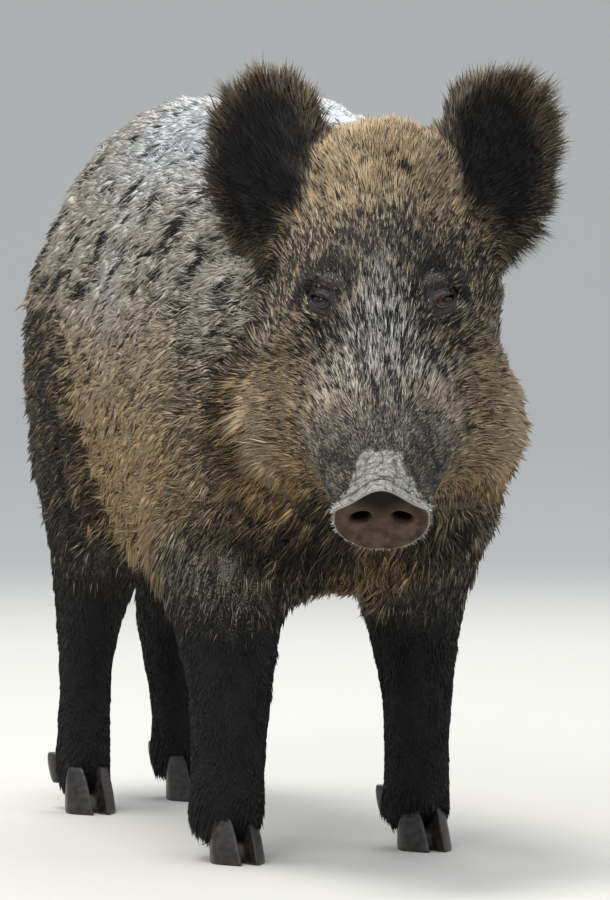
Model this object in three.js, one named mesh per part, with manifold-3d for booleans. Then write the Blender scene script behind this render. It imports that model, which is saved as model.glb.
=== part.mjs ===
// A wild boar standing on level ground, life size. Millimetres, +Z up; the trunk lies along Y with
// the head towards -Y, and the head is turned a little to the animal's right (-X) and hangs.
// Every surface is the outline of the winter coat, out to the tips of the hair.
import * as THREE from 'three';
import { mergeVertices } from 'three/addons/utils/BufferGeometryUtils.js';
import { ParametricGeometry } from 'three/addons/geometries/ParametricGeometry.js';
import Module from 'manifold-3d';

const wasm = await Module();
wasm.setup();

// ---------------------------------------------------------------- driving dimensions
const BACK_TOP = 792; // height of the back's bristles
const BELLY = 258; // height of the belly's fringe
const SHOULDER_HALF = 176; // half the width over the shoulders
const WAIST_HALF = 140; // half the width over the flanks
const HAUNCH_HALF = 126; // half the width over the thighs
const RUMP_END = 484; // how far back the rump reaches
const WRIST = 165; // height of the fore leg's wrist
const HOCK = 212; // height of the hind leg's hock
const CORONET = 43; // height of the cut between the leg's hair and the claws
const HEAD_AT = new THREE.Vector3(-11, -489, 575); // middle of the head between the eyes
const HEAD_YAW = -21.2; // degrees, turned to the animal's right
const HEAD_PITCH = 35; // degrees, the muzzle's axis below the level
const MUZZLE_END = 258; // from HEAD_AT along the axis to the back of the snout disc
const DISC = { halfWidth: 49, halfHeight: 37, thick: 12, rim: 2.5, below: 73, nostril: 21 };
const NOSTRIL = { halfWidth: 8.5, halfHeight: 6, above: 3, depth: 22 };
const EYE = { radius: 12, aside: 64, up: -6, sunk: 12 };
const EAR = { halfWidth: 63, halfHeight: 97, cup: 34, thick: 12, root: 44, aside: 117, back: 36, up: 138 };
const EAR_TURN = { forward: -4, outward: 9, lean: 10 }; // degrees
const CLAW = { long: 62, wide: 26, high: CORONET + 8, slope: 16 };
const DEWCLAW = { long: 24, wide: 17, high: 30, slope: 6 };
const FORE_FOOT_ASIDE = 115; // from the middle plane to the middle of each fore foot
const HIND_FOOT_ASIDE = 80;
const TURNED_OUT = 26; // degrees, the fore legs about the upright
const CUT = 0.3; // half the width of every thin cut between two parts
const CLEAR = 0.6; // gap left round a part that sits in another
const SLIVER = 0.08; // no edge is kept that matters less than this to the shape
// how fine the outline is, sideways, along and upwards
const BODY_CELL = new THREE.Vector3(37, 46, 39);
const HEAD_CELL = new THREE.Vector3(21, 23.5, 21);
const LEG_CELL = new THREE.Vector3(22, 23, 34);
const NAPE_CELL = new THREE.Vector3(38, 40, 38);

const rad = THREE.MathUtils.degToRad;
const vec = (x, y, z) => new THREE.Vector3(x, y, z);

// ---------------------------------------------------------------- flesh as distance fields
// A field gives a point's distance from a surface, negative inside.

// Rounded mass with its own three radii, tilted about the sideways axis.
function mass(centre, radii, tilt = 0) {
  const c = Math.cos(rad(tilt));
  const s = Math.sin(rad(tilt));
  return (x, y, z) => {
    const dx = x - centre.x;
    const dy = (y - centre.y) * c + (z - centre.z) * s;
    const dz = (z - centre.z) * c - (y - centre.y) * s;
    const near = Math.hypot(dx / radii.x, dy / radii.y, dz / radii.z);
    const slope = Math.hypot(dx / radii.x ** 2, dy / radii.y ** 2, dz / radii.z ** 2);
    return slope < 1e-9 ? -Math.min(radii.x, radii.y, radii.z) : (near * (near - 1)) / slope;
  };
}

// A pair of masses, one on each side of the middle plane.
function pair(centre, radii, tilt = 0) {
  const one = mass(centre, radii, tilt);
  return (x, y, z) => one(Math.abs(x), y, z);
}

// Tapering length from one joint to the next. wide is its half width sideways and deep the other
// way; turn, in degrees, turns that oval about the upright.
function length(from, to, turn = 0) {
  const run = vec(0, 0, 0).subVectors(to.at, from.at);
  const square = run.lengthSq();
  const c = Math.cos(rad(turn));
  const s = Math.sin(rad(turn));
  return (x, y, z) => {
    const dx = x - from.at.x;
    const dy = y - from.at.y;
    const dz = z - from.at.z;
    const t = THREE.MathUtils.clamp((dx * run.x + dy * run.y + dz * run.z) / square, 0, 1);
    const wide = from.wide + (to.wide - from.wide) * t;
    const deep = from.deep + (to.deep - from.deep) * t;
    const px = dx - run.x * t;
    const py = dy - run.y * t;
    const reach = Math.hypot((px * c + py * s) * (deep / wide), py * c - px * s, dz - run.z * t);
    return (reach - deep) * Math.min(1, wide / deep);
  };
}

// Two fields run together over a fillet of the given size.
function soften(a, b, fillet) {
  const h = Math.max(fillet - Math.abs(a - b), 0) / fillet;
  return Math.min(a, b) - (h * h * fillet) / 4;
}

// [field, fillet] entries run together into one flesh.
function flesh(entries) {
  return (x, y, z) => entries.reduce((d, [field, fillet]) => soften(d, field(x, y, z), fillet), 1e6);
}

// Chain of lengths through a limb's joints.
function limb(joints, fillet, turn) {
  return flesh(joints.slice(1).map((joint, i) => [length(joints[i], joint, turn), fillet]));
}

const joint = (x, y, z, wide, deep) => ({ at: vec(x, y, z), wide, deep });

// ---------------------------------------------------------------- trunk and neck
function trunkField() {
  const middle = (BACK_TOP + BELLY) / 2;
  const depth = (BACK_TOP - BELLY) / 2;
  const chest = mass(vec(0, -112, middle - 6), vec(SHOULDER_HALF - 18, 270, depth - 6));
  const belly = mass(vec(0, 120, middle - 2), vec(WAIST_HALF - 8, 290, depth - 8));
  const rump = mass(vec(0, 292, 560), vec(HAUNCH_HALF - 28, RUMP_END - 296, 200), -16);
  const withers = mass(vec(0, -150, BACK_TOP - 116), vec(72, 260, 108), -2);
  const loin = mass(vec(0, 130, BACK_TOP - 96), vec(64, 262, 100), -2);
  const shoulders = pair(vec(102, -284, 425), vec(SHOULDER_HALF - 98, 104, 165), 4);
  const blades = pair(vec(96, -180, 540), vec(SHOULDER_HALF - 108, 120, 150), 8);
  const hams = pair(vec(58, 314, 496), vec(HAUNCH_HALF - 76, 128, 170), -6);
  const brisket = mass(vec(19, -338, 398), vec(156, 104, 128), 10);
  return flesh([
    [chest, 20],
    [belly, 36],
    [rump, 30],
    [withers, 30],
    [loin, 30],
    [shoulders, 36],
    [blades, 40],
    [hams, 36],
    [brisket, 50],
  ]);
}

// The neck bends to the animal's right, so its front end lies left of the middle plane.
function neckField() {
  const shoulders = joint(0, -180, 580, 140, 182);
  const nape = joint(30, -386, 590, 124, 128);
  const crestBack = joint(0, -190, 720, 44, 54);
  const crestFront = joint(14, -430, 694, 42, 52);
  return flesh([
    [length(shoulders, nape), 40],
    [length(crestBack, crestFront), 40],
  ]);
}

// ---------------------------------------------------------------- legs
// Each leg: which side, and where its foot stands along Y.
const LEGS = [
  { name: 'fore', side: 1, foot: -252, end: 'left' },
  { name: 'fore', side: -1, foot: -318, end: 'right' },
  { name: 'hind', side: 1, foot: 398, end: 'left' },
  { name: 'hind', side: -1, foot: 276, end: 'right' },
];

// From the shoulder down: elbow, forearm, wrist, cannon, fetlock, pastern.
function foreJoints({ side, foot }) {
  const x = FORE_FOOT_ASIDE;
  return [
    joint(side * (x - 1), -305, 455, 62, 88),
    joint(side * (x - 1), -262, 330, 60, 74),
    joint(side * (x - 1), foot + 4, 238, 46, 54),
    joint(side * x, foot - 8, WRIST, 31, 43),
    joint(side * (x + 1), foot, 112, 27, 40),
    joint(side * (x + 2), foot, 68, 28, 37),
    joint(side * (x + 3), foot - 12, 36, 30, 36),
  ];
}

// From the hip down: stifle, gaskin, hock, cannon, fetlock, pastern.
function hindJoints({ side, foot }) {
  const follow = (foot - 340) * 0.5; // the thigh swings about half as far as the foot
  const x = HIND_FOOT_ASIDE;
  return [
    joint(side * (x - 20), 340, 520, 54, 116),
    joint(side * (x - 17), 322 + follow, 400, 50, 112),
    joint(side * (x - 19), 318 + follow * 1.2, 300, 42, 74),
    joint(side * (x - 14), foot + 26, HOCK, 29, 44),
    joint(side * (x - 8), foot + 16, 130, 25, 32),
    joint(side * (x - 2), foot + 6, 72, 28, 34),
    joint(side * x, foot - 12, 36, 29, 35),
  ];
}

function legField(leg) {
  const fore = leg.name === 'fore';
  const joints = fore ? foreJoints(leg) : hindJoints(leg);
  return limb(joints, 26, fore ? -leg.side * TURNED_OUT : 0);
}

// ---------------------------------------------------------------- head
// The head's own frame: x to its left, y backwards, z up, from the middle between the eyes.
const headPlace = new THREE.Matrix4()
  .makeRotationZ(rad(HEAD_YAW))
  .multiply(new THREE.Matrix4().makeRotationX(rad(HEAD_PITCH)))
  .setPosition(HEAD_AT);
const intoHead = headPlace.clone().invert();

function headField() {
  const crown = joint(0, 114, 88, 44, 40);
  const nose = joint(0, 70 - MUZZLE_END, -56, 34, 26);
  const muzzleRoot = joint(0, -36, -66, 104, 84);
  const muzzleTip = joint(0, -MUZZLE_END, -DISC.below, 41, 35);
  const jawRoot = joint(0, -20, -136, 72, 52);
  const chin = joint(0, 40 - MUZZLE_END, -108, 27, 22);
  const cranium = mass(vec(0, 30, -2), vec(84, 118, 92));
  const poll = mass(vec(0, 110, 84), vec(74, 38, 43));
  const jowls = pair(vec(76, -40, -126), vec(66, 86, 84), -12);
  const brows = pair(vec(56, -36, 42), vec(26, 38, 17), 22);
  const temples = pair(vec(69, -20, -30), vec(34, 70, 44), 14);
  return flesh([
    [cranium, 20],
    [poll, 18],
    [length(crown, nose), 30],
    [length(muzzleRoot, muzzleTip), 44],
    [length(jawRoot, chin), 26],
    [jowls, 40],
    [brows, 22],
    [temples, 30],
  ]);
}

const HEAD_FILLET = 24; // how softly the head's flesh runs into the neck's
const bodyField = flesh([
  [trunkField(), 30],
  [neckField(), 40],
  ...LEGS.map((leg) => [legField(leg), 28]),
]);
const headOnly = headField();

// The whole animal, at a point of the part's frame.
function boarField(x, y, z) {
  const p = vec(x, y, z).applyMatrix4(intoHead);
  return soften(bodyField(x, y, z), headOnly(p.x, p.y, p.z), HEAD_FILLET);
}

// The whole animal, at a point of the head's frame.
function boarFieldInHead(x, y, z) {
  const p = vec(x, y, z).applyMatrix4(headPlace);
  return soften(bodyField(p.x, p.y, p.z), headOnly(x, y, z), HEAD_FILLET);
}

// ---------------------------------------------------------------- fields and shapes to solids
// The corners of a grid cell, and the pairs of them that an edge joins.
const CORNERS = [0, 1, 2, 3, 4, 5, 6, 7].map((n) => [n & 1, (n >> 1) & 1, (n >> 2) & 1]);
const EDGES = CORNERS.flatMap((a, i) => CORNERS.map((b, j) => [i, j])).filter(
  ([i, j]) => i < j && [1, 2, 4].includes(i ^ j),
);

// Where only two opposite corners of a grid square are inside, the nearer of the other two is
// taken in as well, so that no edge is shared by two sheets of the surface.
function fillSaddles(value, across) {
  const squares = [
    [across[0], across[1]],
    [across[1], across[2]],
    [across[2], across[0]],
  ];
  const hair = -1e-3;
  let filled = true;
  while (filled) {
    filled = false;
    for (let i = 0; i < value.length - across[0] - across[1]; i++)
      for (const [p, q] of squares) {
        const inside = [i, i + p, i + p + q, i + q].map((k) => value[k] < 0);
        if (inside[0] !== inside[2] || inside[1] !== inside[3] || inside[0] === inside[1]) continue;
        const [a, b] = inside[0] ? [i + p, i + q] : [i, i + p + q];
        value[value[a] < value[b] ? a : b] = hair;
        filled = true;
      }
  }
}

// Closed surface of a field inside a box: one vertex in each cell that the surface passes through,
// at the mean of its crossings, and a quad round each grid edge that it crosses.
function surfaceOf(field, low, high, cell) {
  const n = ['x', 'y', 'z'].map((k) => Math.ceil((high[k] - low[k]) / cell[k]) + 1);
  const at = (i, j, k) => (i * n[1] + j) * n[2] + k;
  const value = new Float64Array(n[0] * n[1] * n[2]);
  for (let i = 0; i < n[0]; i++)
    for (let j = 0; j < n[1]; j++)
      for (let k = 0; k < n[2]; k++) {
        const rim = [i, j, k].some((v, a) => v === 0 || v === n[a] - 1);
        const d = field(low.x + i * cell.x, low.y + j * cell.y, low.z + k * cell.z);
        value[at(i, j, k)] = rim ? Math.max(d, 1) : d;
      }
  const across = [n[1] * n[2], n[2], 1]; // from a grid point to the next along each axis
  fillSaddles(value, across);
  const vertex = new Map();
  const positions = [];
  for (let i = 0; i < n[0] - 1; i++)
    for (let j = 0; j < n[1] - 1; j++)
      for (let k = 0; k < n[2] - 1; k++) {
        const v = CORNERS.map(([a, b, c]) => value[at(i + a, j + b, k + c)]);
        const sum = [0, 0, 0];
        let crossings = 0;
        for (const [a, b] of EDGES) {
          if (v[a] < 0 === v[b] < 0) continue;
          const t = v[a] / (v[a] - v[b]);
          for (let m = 0; m < 3; m++) sum[m] += CORNERS[a][m] + (CORNERS[b][m] - CORNERS[a][m]) * t;
          crossings++;
        }
        if (!crossings) continue;
        vertex.set(at(i, j, k), positions.length / 3);
        positions.push(
          low.x + (i + sum[0] / crossings) * cell.x,
          low.y + (j + sum[1] / crossings) * cell.y,
          low.z + (k + sum[2] / crossings) * cell.z,
        );
      }
  const far = (a, b) =>
    Math.hypot(...[0, 1, 2].map((m) => positions[3 * a + m] - positions[3 * b + m]));
  const index = [];
  for (let i = 0; i < n[0] - 1; i++)
    for (let j = 0; j < n[1] - 1; j++)
      for (let k = 0; k < n[2] - 1; k++)
        for (let axis = 0; axis < 3; axis++) {
          const step = [0, 1, 2].map((m) => (m === axis ? 1 : 0));
          const here = value[at(i, j, k)] < 0;
          if (here === value[at(i + step[0], j + step[1], k + step[2])] < 0) continue;
          const p = step.map((_, m) => (m === (axis + 1) % 3 ? 1 : 0));
          const q = step.map((_, m) => (m === (axis + 2) % 3 ? 1 : 0));
          const cellAt = (a, b) =>
            vertex.get(at(i - a * p[0] - b * q[0], j - a * p[1] - b * q[1], k - a * p[2] - b * q[2]));
          const ring = [cellAt(0, 0), cellAt(1, 0), cellAt(1, 1), cellAt(0, 1)];
          if (!here) ring.reverse();
          const [a, b, c, d] = ring;
          index.push(...(far(a, c) < far(b, d) ? [a, b, c, a, c, d] : [b, c, d, b, d, a]));
        }
  return new THREE.BufferGeometry()
    .setAttribute('position', new THREE.Float32BufferAttribute(positions, 3))
    .setIndex(index);
}

// A closed geometry as a solid that can be joined and cut.
function solid(geometry) {
  const bare = new THREE.BufferGeometry().setAttribute('position', geometry.getAttribute('position'));
  const merged = mergeVertices(bare.setIndex(geometry.index), 1e-3);
  const corners = merged.index.array;
  const kept = [];
  for (let i = 0; i < corners.length; i += 3) {
    const [a, b, c] = corners.slice(i, i + 3);
    if (a !== b && b !== c && c !== a) kept.push(a, b, c);
  }
  const build = (triVerts) =>
    new wasm.Manifold(
      new wasm.Mesh({ numProp: 3, vertProperties: merged.attributes.position.array, triVerts }),
    );
  const made = build(Uint32Array.from(kept));
  return made.volume() > 0 ? made : build(Uint32Array.from(kept).reverse());
}

// The same surface moved outwards all over.
function grown(geometry, by) {
  const out = geometry.clone();
  out.computeVertexNormals();
  const { position, normal } = out.attributes;
  for (let i = 0; i < position.count; i++) {
    const away = vec(0, 0, 0).fromBufferAttribute(normal, i).multiplyScalar(by);
    position.setXYZ(i, position.getX(i) + away.x, position.getY(i) + away.y, position.getZ(i) + away.z);
  }
  return out;
}

const moved = (made, matrix) => made.transform(matrix.elements);

// The largest piece of a solid: what a cut leaves loose beside it is dropped.
function main(made) {
  return made.decompose().reduce((a, b) => (a.volume() > b.volume() ? a : b));
}

// A solid as a named part, without the slivers that the cuts leave.
function mesh(name, made, material) {
  const { vertProperties, triVerts } = main(main(made).simplify(SLIVER)).getMesh();
  const geometry = new THREE.BufferGeometry()
    .setAttribute('position', new THREE.BufferAttribute(vertProperties, 3))
    .setIndex(new THREE.BufferAttribute(triVerts, 1));
  geometry.computeVertexNormals();
  const part = new THREE.Mesh(geometry, material);
  part.name = name;
  return part;
}

// A flat cut: through a point, with its normal to the side that is kept.
const plane = (point, normal) => ({ point, normal: normal.clone().normalize() });
const other = ({ point, normal }) => ({ point, normal: normal.clone().negate() });

function cut(made, ...planes) {
  return planes.reduce(
    (left, { point, normal }) => left.trimByPlane(normal.toArray(), normal.dot(point) + CUT),
    made,
  );
}

// Outline in the head's middle plane, drawn out to both sides; drop moves it down.
function sideways(points, drop = 0) {
  const shape = new THREE.Shape(points.map(([back, up]) => new THREE.Vector2(back, up - drop)));
  const reach = 240;
  const geometry = new THREE.ExtrudeGeometry(shape, { depth: 2 * reach, bevelEnabled: false });
  const turned = new THREE.Matrix4().makeBasis(vec(0, 1, 0), vec(0, 0, 1), vec(1, 0, 0));
  return solid(geometry.translate(0, 0, -reach).applyMatrix4(turned));
}

// ---------------------------------------------------------------- where the parts meet
const NECK_CUT = plane(vec(0, -190, 800), vec(0, 500, -205));
const foreCut = (side) => plane(vec(side * 40, 0, 250), vec(-side * 0.62, 0, 1));
const BEHIND_FORE_CUT = plane(vec(0, -130, 300), vec(0, -1, 0)); // keeps the belly off the fore leg
const HIND_CUT = plane(vec(0, 215, 296), vec(0, -0.6, 1));
const HEAD_BIAS = 22; // how far the head's flesh goes on into the neck before the cut
const JAW_REGION = [
  [-40, -240],
  [-40, -186],
  [-112, -124],
  [-MUZZLE_END - 30, -104],
  [-MUZZLE_END - 30, -240],
];

// ---------------------------------------------------------------- materials
function material(name, color, roughness) {
  const made = new THREE.MeshStandardMaterial({ color, roughness, metalness: 0 });
  made.name = name;
  return made;
}
const MATERIALS = {
  body: material('body_coat', 0x6b5d4e, 0.9),
  face: material('face_coat', 0x75695b, 0.9),
  legs: material('leg_coat', 0x28242a, 0.9),
  ears: material('ear_coat', 0x2a2124, 0.9),
  snout: material('snout_skin', 0x5f544f, 0.55),
  eye: material('eye', 0x2a1610, 0.08),
  claw: material('claw', 0x26221f, 0.5),
};

// ---------------------------------------------------------------- trunk, neck and tail
const wholeBody = surfaceOf(boarField, vec(-217, -560, 200), vec(217, 560, 860), BODY_CELL);

// The room that belongs to the head: all that is nearer to its flesh than to the body's.
const headSpace = surfaceOf(
  (x, y, z) => {
    const p = vec(x, y, z).applyMatrix4(headPlace);
    return (headOnly(x, y, z) - bodyField(p.x, p.y, p.z) - HEAD_BIAS) / 2;
  },
  vec(-210, -340, -300),
  vec(210, 240, 260),
  NAPE_CELL,
);

function bodyMeshes() {
  const space = moved(solid(grown(headSpace, 2 * CUT)), headPlace);
  const body = cut(solid(wholeBody), foreCut(1), foreCut(-1), HIND_CUT).subtract(space);
  return [
    mesh('trunk', cut(body, NECK_CUT), MATERIALS.body),
    mesh('neck', cut(body, other(NECK_CUT)), MATERIALS.body),
  ];
}

// Closed tube along a path, of a radius that changes along it, round at both ends.
function taperedTube(path, radius, around, along) {
  const frames = path.computeFrenetFrames(along);
  return new ParametricGeometry(
    (u, v, target) => {
      const i = Math.round(v * along);
      const turn = 2 * Math.PI * u;
      const r = i === 0 || i === along ? 0 : radius(v);
      target
        .copy(path.getPointAt(v))
        .addScaledVector(frames.normals[i], r * Math.cos(turn))
        .addScaledVector(frames.binormals[i], r * Math.sin(turn));
    },
    around,
    along,
  );
}

function tailSolid() {
  const path = new THREE.CatmullRomCurve3([
    vec(0, RUMP_END - 72, 664),
    vec(2, RUMP_END - 12, 634),
    vec(8, RUMP_END + 22, 556),
    vec(12, RUMP_END + 32, 470),
    vec(10, RUMP_END + 30, 380),
  ]);
  // slim below its root, then the tassel
  const radius = (v) => 22 - 20 * v + 14 * Math.exp(-(((v - 0.86) / 0.12) ** 2));
  return solid(taperedTube(path, radius, 10, 18)).subtract(solid(grown(wholeBody, CLEAR)));
}

// ---------------------------------------------------------------- legs and claws
function legSolids(leg) {
  const { side, foot, name } = leg;
  const fore = name === 'fore';
  const low = vec(side > 0 ? -4 : -206, fore ? -430 : 130, 10);
  const high = vec(low.x + 210, fore ? -110 : 590, fore ? 400 : 560);
  const whole = solid(surfaceOf(boarField, low, high, LEG_CELL));
  const knee = plane(vec(0, 0, fore ? WRIST + 12 : HOCK + 10), vec(0, 0, 1));
  const sole = plane(vec(0, foot, CORONET), vec(0, 0.12, 1));
  const inner = plane(vec(0, 0, 0), vec(side, 0, 0));
  const tops = fore ? [other(foreCut(side)), BEHIND_FORE_CUT] : [other(HIND_CUT)];
  return { upper: cut(whole, ...tops, knee, inner), lower: cut(whole, ...tops, other(knee), sole, inner) };
}

// Horny sheath with a flat sole: rings from the sole to the top, each an oval narrowed at the toe.
function clawGeometry({ long, wide, high, slope }) {
  const levels = [0, 0, 0.45, 1, 1];
  const size = [0, 1, 0.93, 0.72, 0];
  return new ParametricGeometry(
    (u, v, target) => {
      const i = Math.round(v * (levels.length - 1));
      const turn = 2 * Math.PI * u;
      const taper = 1 - 0.34 * Math.max(0, -Math.cos(turn)) ** 1.5;
      const back = (long / 2) * Math.cos(turn) * size[i] + slope * levels[i];
      target.set((wide / 2) * Math.sin(turn) * taper * size[i], back, high * levels[i]);
    },
    8,
    levels.length - 1,
  );
}

// Two claws that bear the weight, and two dewclaws higher at the back of the foot.
function clawPlaces({ side, foot, name }) {
  const x = side * (name === 'fore' ? FORE_FOOT_ASIDE : HIND_FOOT_ASIDE);
  return [-1, 1].flatMap((half) => {
    const where = half * side > 0 ? 'outer' : 'inner';
    return [
      { name: where, shape: CLAW, at: vec(x + half * 14.5, foot - 34, 0), back: 0, out: -half * 4 },
      {
        name: `${where}_dew`,
        shape: DEWCLAW,
        at: vec(x + half * 21, foot + 31, 34),
        back: -24,
        out: half * 20,
      },
    ];
  });
}

// The horny sheath in place, trimmed where it would run into the leg's hair.
function clawMeshes(leg, lower) {
  const aways = [vec(1, 0, 0), vec(-1, 0, 0), vec(0, 1, 0), vec(0, -1, 0), vec(0, 0, -1)];
  const soft = aways.reduce(
    (made, away) => made.add(lower.translate(away.multiplyScalar(CLEAR).toArray())),
    lower,
  );
  return clawPlaces(leg).map(({ name, shape, at, back, out }) => {
    const place = new THREE.Matrix4()
      .makeRotationFromEuler(new THREE.Euler(rad(back), 0, rad(out), 'ZYX'))
      .setPosition(at);
    const whole = moved(solid(clawGeometry(shape)), place);
    return mesh(`claw_${leg.name}_${leg.end}_${name}`, whole.subtract(soft), MATERIALS.claw);
  });
}

// ---------------------------------------------------------------- head, jaw, snout, eyes, ears
// The point where a level line from the front meets the head, in the head's frame.
function onFace(aside, up) {
  const forward = vec(0, -Math.cos(rad(HEAD_PITCH)), Math.sin(rad(HEAD_PITCH)));
  const start = vec(aside, up * Math.sin(rad(HEAD_PITCH)), up * Math.cos(rad(HEAD_PITCH)));
  let t = 200;
  while (t > -100 && headOnly(...start.clone().addScaledVector(forward, t).toArray()) > 0) t -= 0.5;
  return start.addScaledVector(forward, t);
}

function eyePlace(side) {
  const skin = onFace(side * EYE.aside, EYE.up);
  const inwards = vec(-side * 0.5, 0.82, -0.26).normalize();
  return skin.addScaledVector(inwards, EYE.sunk);
}

function eyeSolid(side, grow = 0) {
  const { x, y, z } = eyePlace(side);
  return solid(new THREE.SphereGeometry(EYE.radius + grow, 12, 8)).translate([x, y, z]);
}

// Ear: a cupped oval blade, upright when the head hangs, thick at the back where it joins the head.
function earSolid(side) {
  const blade = new ParametricGeometry(
    (u, v, target) => {
      const out = Math.sin(Math.PI * v);
      const turn = 2 * Math.PI * u;
      // a little squarer than an ellipse
      const corner = (Math.abs(Math.cos(turn)) ** 2.5 + Math.abs(Math.sin(turn)) ** 2.5) ** (-1 / 2.5);
      const across = out * corner * Math.cos(turn);
      const along = out * corner * Math.sin(turn);
      const cup = EAR.cup * (1 - 0.75 * across ** 2 - 0.25 * along ** 2);
      const root = EAR.root * Math.exp(-(((across + 0.6) / 0.5) ** 2) - ((along + 0.45) / 0.6) ** 2);
      const back = v > 0.5 ? (EAR.thick + root) * Math.abs(Math.cos(Math.PI * v)) ** 0.6 : 0;
      const lobe = along < 0 ? 1.08 : 1; // longer below its middle than above
      target.set(across * EAR.halfWidth, cup + back, along * lobe * EAR.halfHeight);
    },
    20,
    8,
  );
  const { forward, outward, lean } = EAR_TURN;
  const turned = new THREE.Euler(rad(forward), rad(side * outward), rad(side * lean), 'ZYX');
  const place = new THREE.Matrix4()
    .makeRotationX(rad(-HEAD_PITCH))
    .multiply(new THREE.Matrix4().makeTranslation(side * EAR.aside, EAR.back, EAR.up))
    .multiply(new THREE.Matrix4().makeRotationFromEuler(turned))
    .multiply(new THREE.Matrix4().makeScale(side, 1, 1));
  return moved(solid(blade), place);
}

// Rostral disc: a wide oval with a raised middle above and a small notch below.
function discSolid() {
  const { halfWidth, halfHeight, thick, rim, below, nostril } = DISC;
  const steps = 32;
  const outline = Array.from({ length: steps }, (_, i) => {
    const turn = (2 * Math.PI * i) / steps;
    const hump = 3.5 * Math.exp(-(((turn - Math.PI / 2) / 0.35) ** 2));
    const notch = 2.5 * Math.exp(-(((turn - 1.5 * Math.PI) / 0.16) ** 2));
    const lobes = 1 + 0.035 * Math.cos(4 * turn + Math.PI);
    const up = halfHeight * Math.sin(turn) * lobes + hump + notch;
    return new THREE.Vector2(halfWidth * Math.cos(turn) * lobes, up);
  });
  const shape = new THREE.Shape(outline);
  shape.holes = [-1, 1].map((side) =>
    new THREE.Path().absellipse(
      side * nostril, NOSTRIL.above, NOSTRIL.halfWidth, NOSTRIL.halfHeight, 0, 2 * Math.PI, true,
    ),
  );
  const made = new THREE.ExtrudeGeometry(shape, {
    depth: thick - 2 * rim,
    bevelThickness: rim,
    bevelSize: rim,
    bevelOffset: -rim,
    bevelSegments: 1,
    curveSegments: 6,
  });
  made.translate(0, 0, MUZZLE_END + rim + CUT);
  made.applyMatrix4(new THREE.Matrix4().makeBasis(vec(1, 0, 0), vec(0, 0, 1), vec(0, -1, 0)));
  return solid(made.translate(0, 0, -below));
}

// The nasal passage on one side, from the disc's hole back into the muzzle.
function nostrilSolid(side) {
  const { halfHeight, halfWidth, above, depth } = NOSTRIL;
  const made = new THREE.CylinderGeometry(halfHeight, halfWidth, 2 * depth, 14, 1);
  return solid(made.translate(side * DISC.nostril, -MUZZLE_END, above - DISC.below));
}

function headMeshes() {
  const front = plane(vec(0, -MUZZLE_END, 0), vec(0, 1, 0));
  const surface = surfaceOf(boarFieldInHead, vec(-228, -310, -290), vec(225, 230, 214), HEAD_CELL);
  const region = cut(solid(surface).intersect(solid(headSpace)), front);
  const bodySwollen = moved(solid(grown(wholeBody, CLEAR)), intoHead);
  const swollen = solid(grown(surface, CLEAR)).add(bodySwollen);
  const hollows = [-1, 1].map((side) => eyeSolid(side, CLEAR).add(nostrilSolid(side)));
  const head = hollows.reduce((left, hollow) => left.subtract(hollow), region.subtract(sideways(JAW_REGION)));
  const jaw = region.intersect(sideways(JAW_REGION, 2 * CUT));
  const made = [
    mesh('head', head, MATERIALS.face),
    mesh('lower_jaw', jaw, MATERIALS.face),
    mesh('snout_disc', discSolid(), MATERIALS.snout),
  ];
  for (const [side, end] of [
    [1, 'left'],
    [-1, 'right'],
  ]) {
    made.push(mesh(`eye_${end}`, eyeSolid(side), MATERIALS.eye));
    made.push(mesh(`ear_${end}`, earSolid(side).subtract(swollen), MATERIALS.ears));
  }
  return made;
}

// ---------------------------------------------------------------- the animal
const boar = new THREE.Group();
boar.add(...bodyMeshes());
boar.add(mesh('tail', tailSolid(), MATERIALS.legs));

for (const leg of LEGS) {
  const { upper, lower } = legSolids(leg);
  boar.add(mesh(`${leg.name}leg_${leg.end}_upper`, upper, MATERIALS.legs));
  boar.add(mesh(`${leg.name}leg_${leg.end}_lower`, lower, MATERIALS.legs));
  boar.add(...clawMeshes(leg, main(lower)));
}

const head = new THREE.Group();
head.applyMatrix4(headPlace);
head.add(...headMeshes());
boar.add(head);

// The origin is on the ground under the middle of the animal.
boar.updateMatrixWorld(true);
const bounds = new THREE.Box3().setFromObject(boar, true);
boar.position.set(-(bounds.min.x + bounds.max.x) / 2, -(bounds.min.y + bounds.max.y) / 2, -bounds.min.z);

export default boar;
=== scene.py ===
# A wild boar in winter coat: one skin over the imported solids, and a coat of solid locks on it.
import math
import bmesh
import bpy
import numpy as np
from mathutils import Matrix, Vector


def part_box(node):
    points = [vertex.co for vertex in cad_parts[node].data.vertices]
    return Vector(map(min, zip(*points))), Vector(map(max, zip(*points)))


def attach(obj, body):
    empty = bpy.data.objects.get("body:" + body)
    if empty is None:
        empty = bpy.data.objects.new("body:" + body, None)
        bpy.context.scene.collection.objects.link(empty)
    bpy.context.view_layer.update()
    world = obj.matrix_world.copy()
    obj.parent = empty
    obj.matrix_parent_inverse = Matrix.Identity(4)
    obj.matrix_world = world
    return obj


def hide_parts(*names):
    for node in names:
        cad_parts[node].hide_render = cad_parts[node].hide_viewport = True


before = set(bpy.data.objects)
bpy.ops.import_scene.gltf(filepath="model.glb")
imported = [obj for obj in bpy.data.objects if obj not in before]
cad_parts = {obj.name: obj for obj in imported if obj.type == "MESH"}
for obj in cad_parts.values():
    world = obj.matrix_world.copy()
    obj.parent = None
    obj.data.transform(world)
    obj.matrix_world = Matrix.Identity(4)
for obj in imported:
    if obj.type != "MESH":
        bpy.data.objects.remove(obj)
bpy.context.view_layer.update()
random = np.random.default_rng(882)


# a vector or rows of vectors over their own length
def unit(v):
    return v / np.maximum(np.linalg.norm(v, axis=-1, keepdims=True), 1e-12)


# rises from 0 at low to 1 at high along 3t^2 - 2t^3; low may lie above high
def ease(low, high, x):
    t = np.clip((x - low) / (high - low), 0, 1)
    return t * t * (3 - 2 * t)


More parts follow.
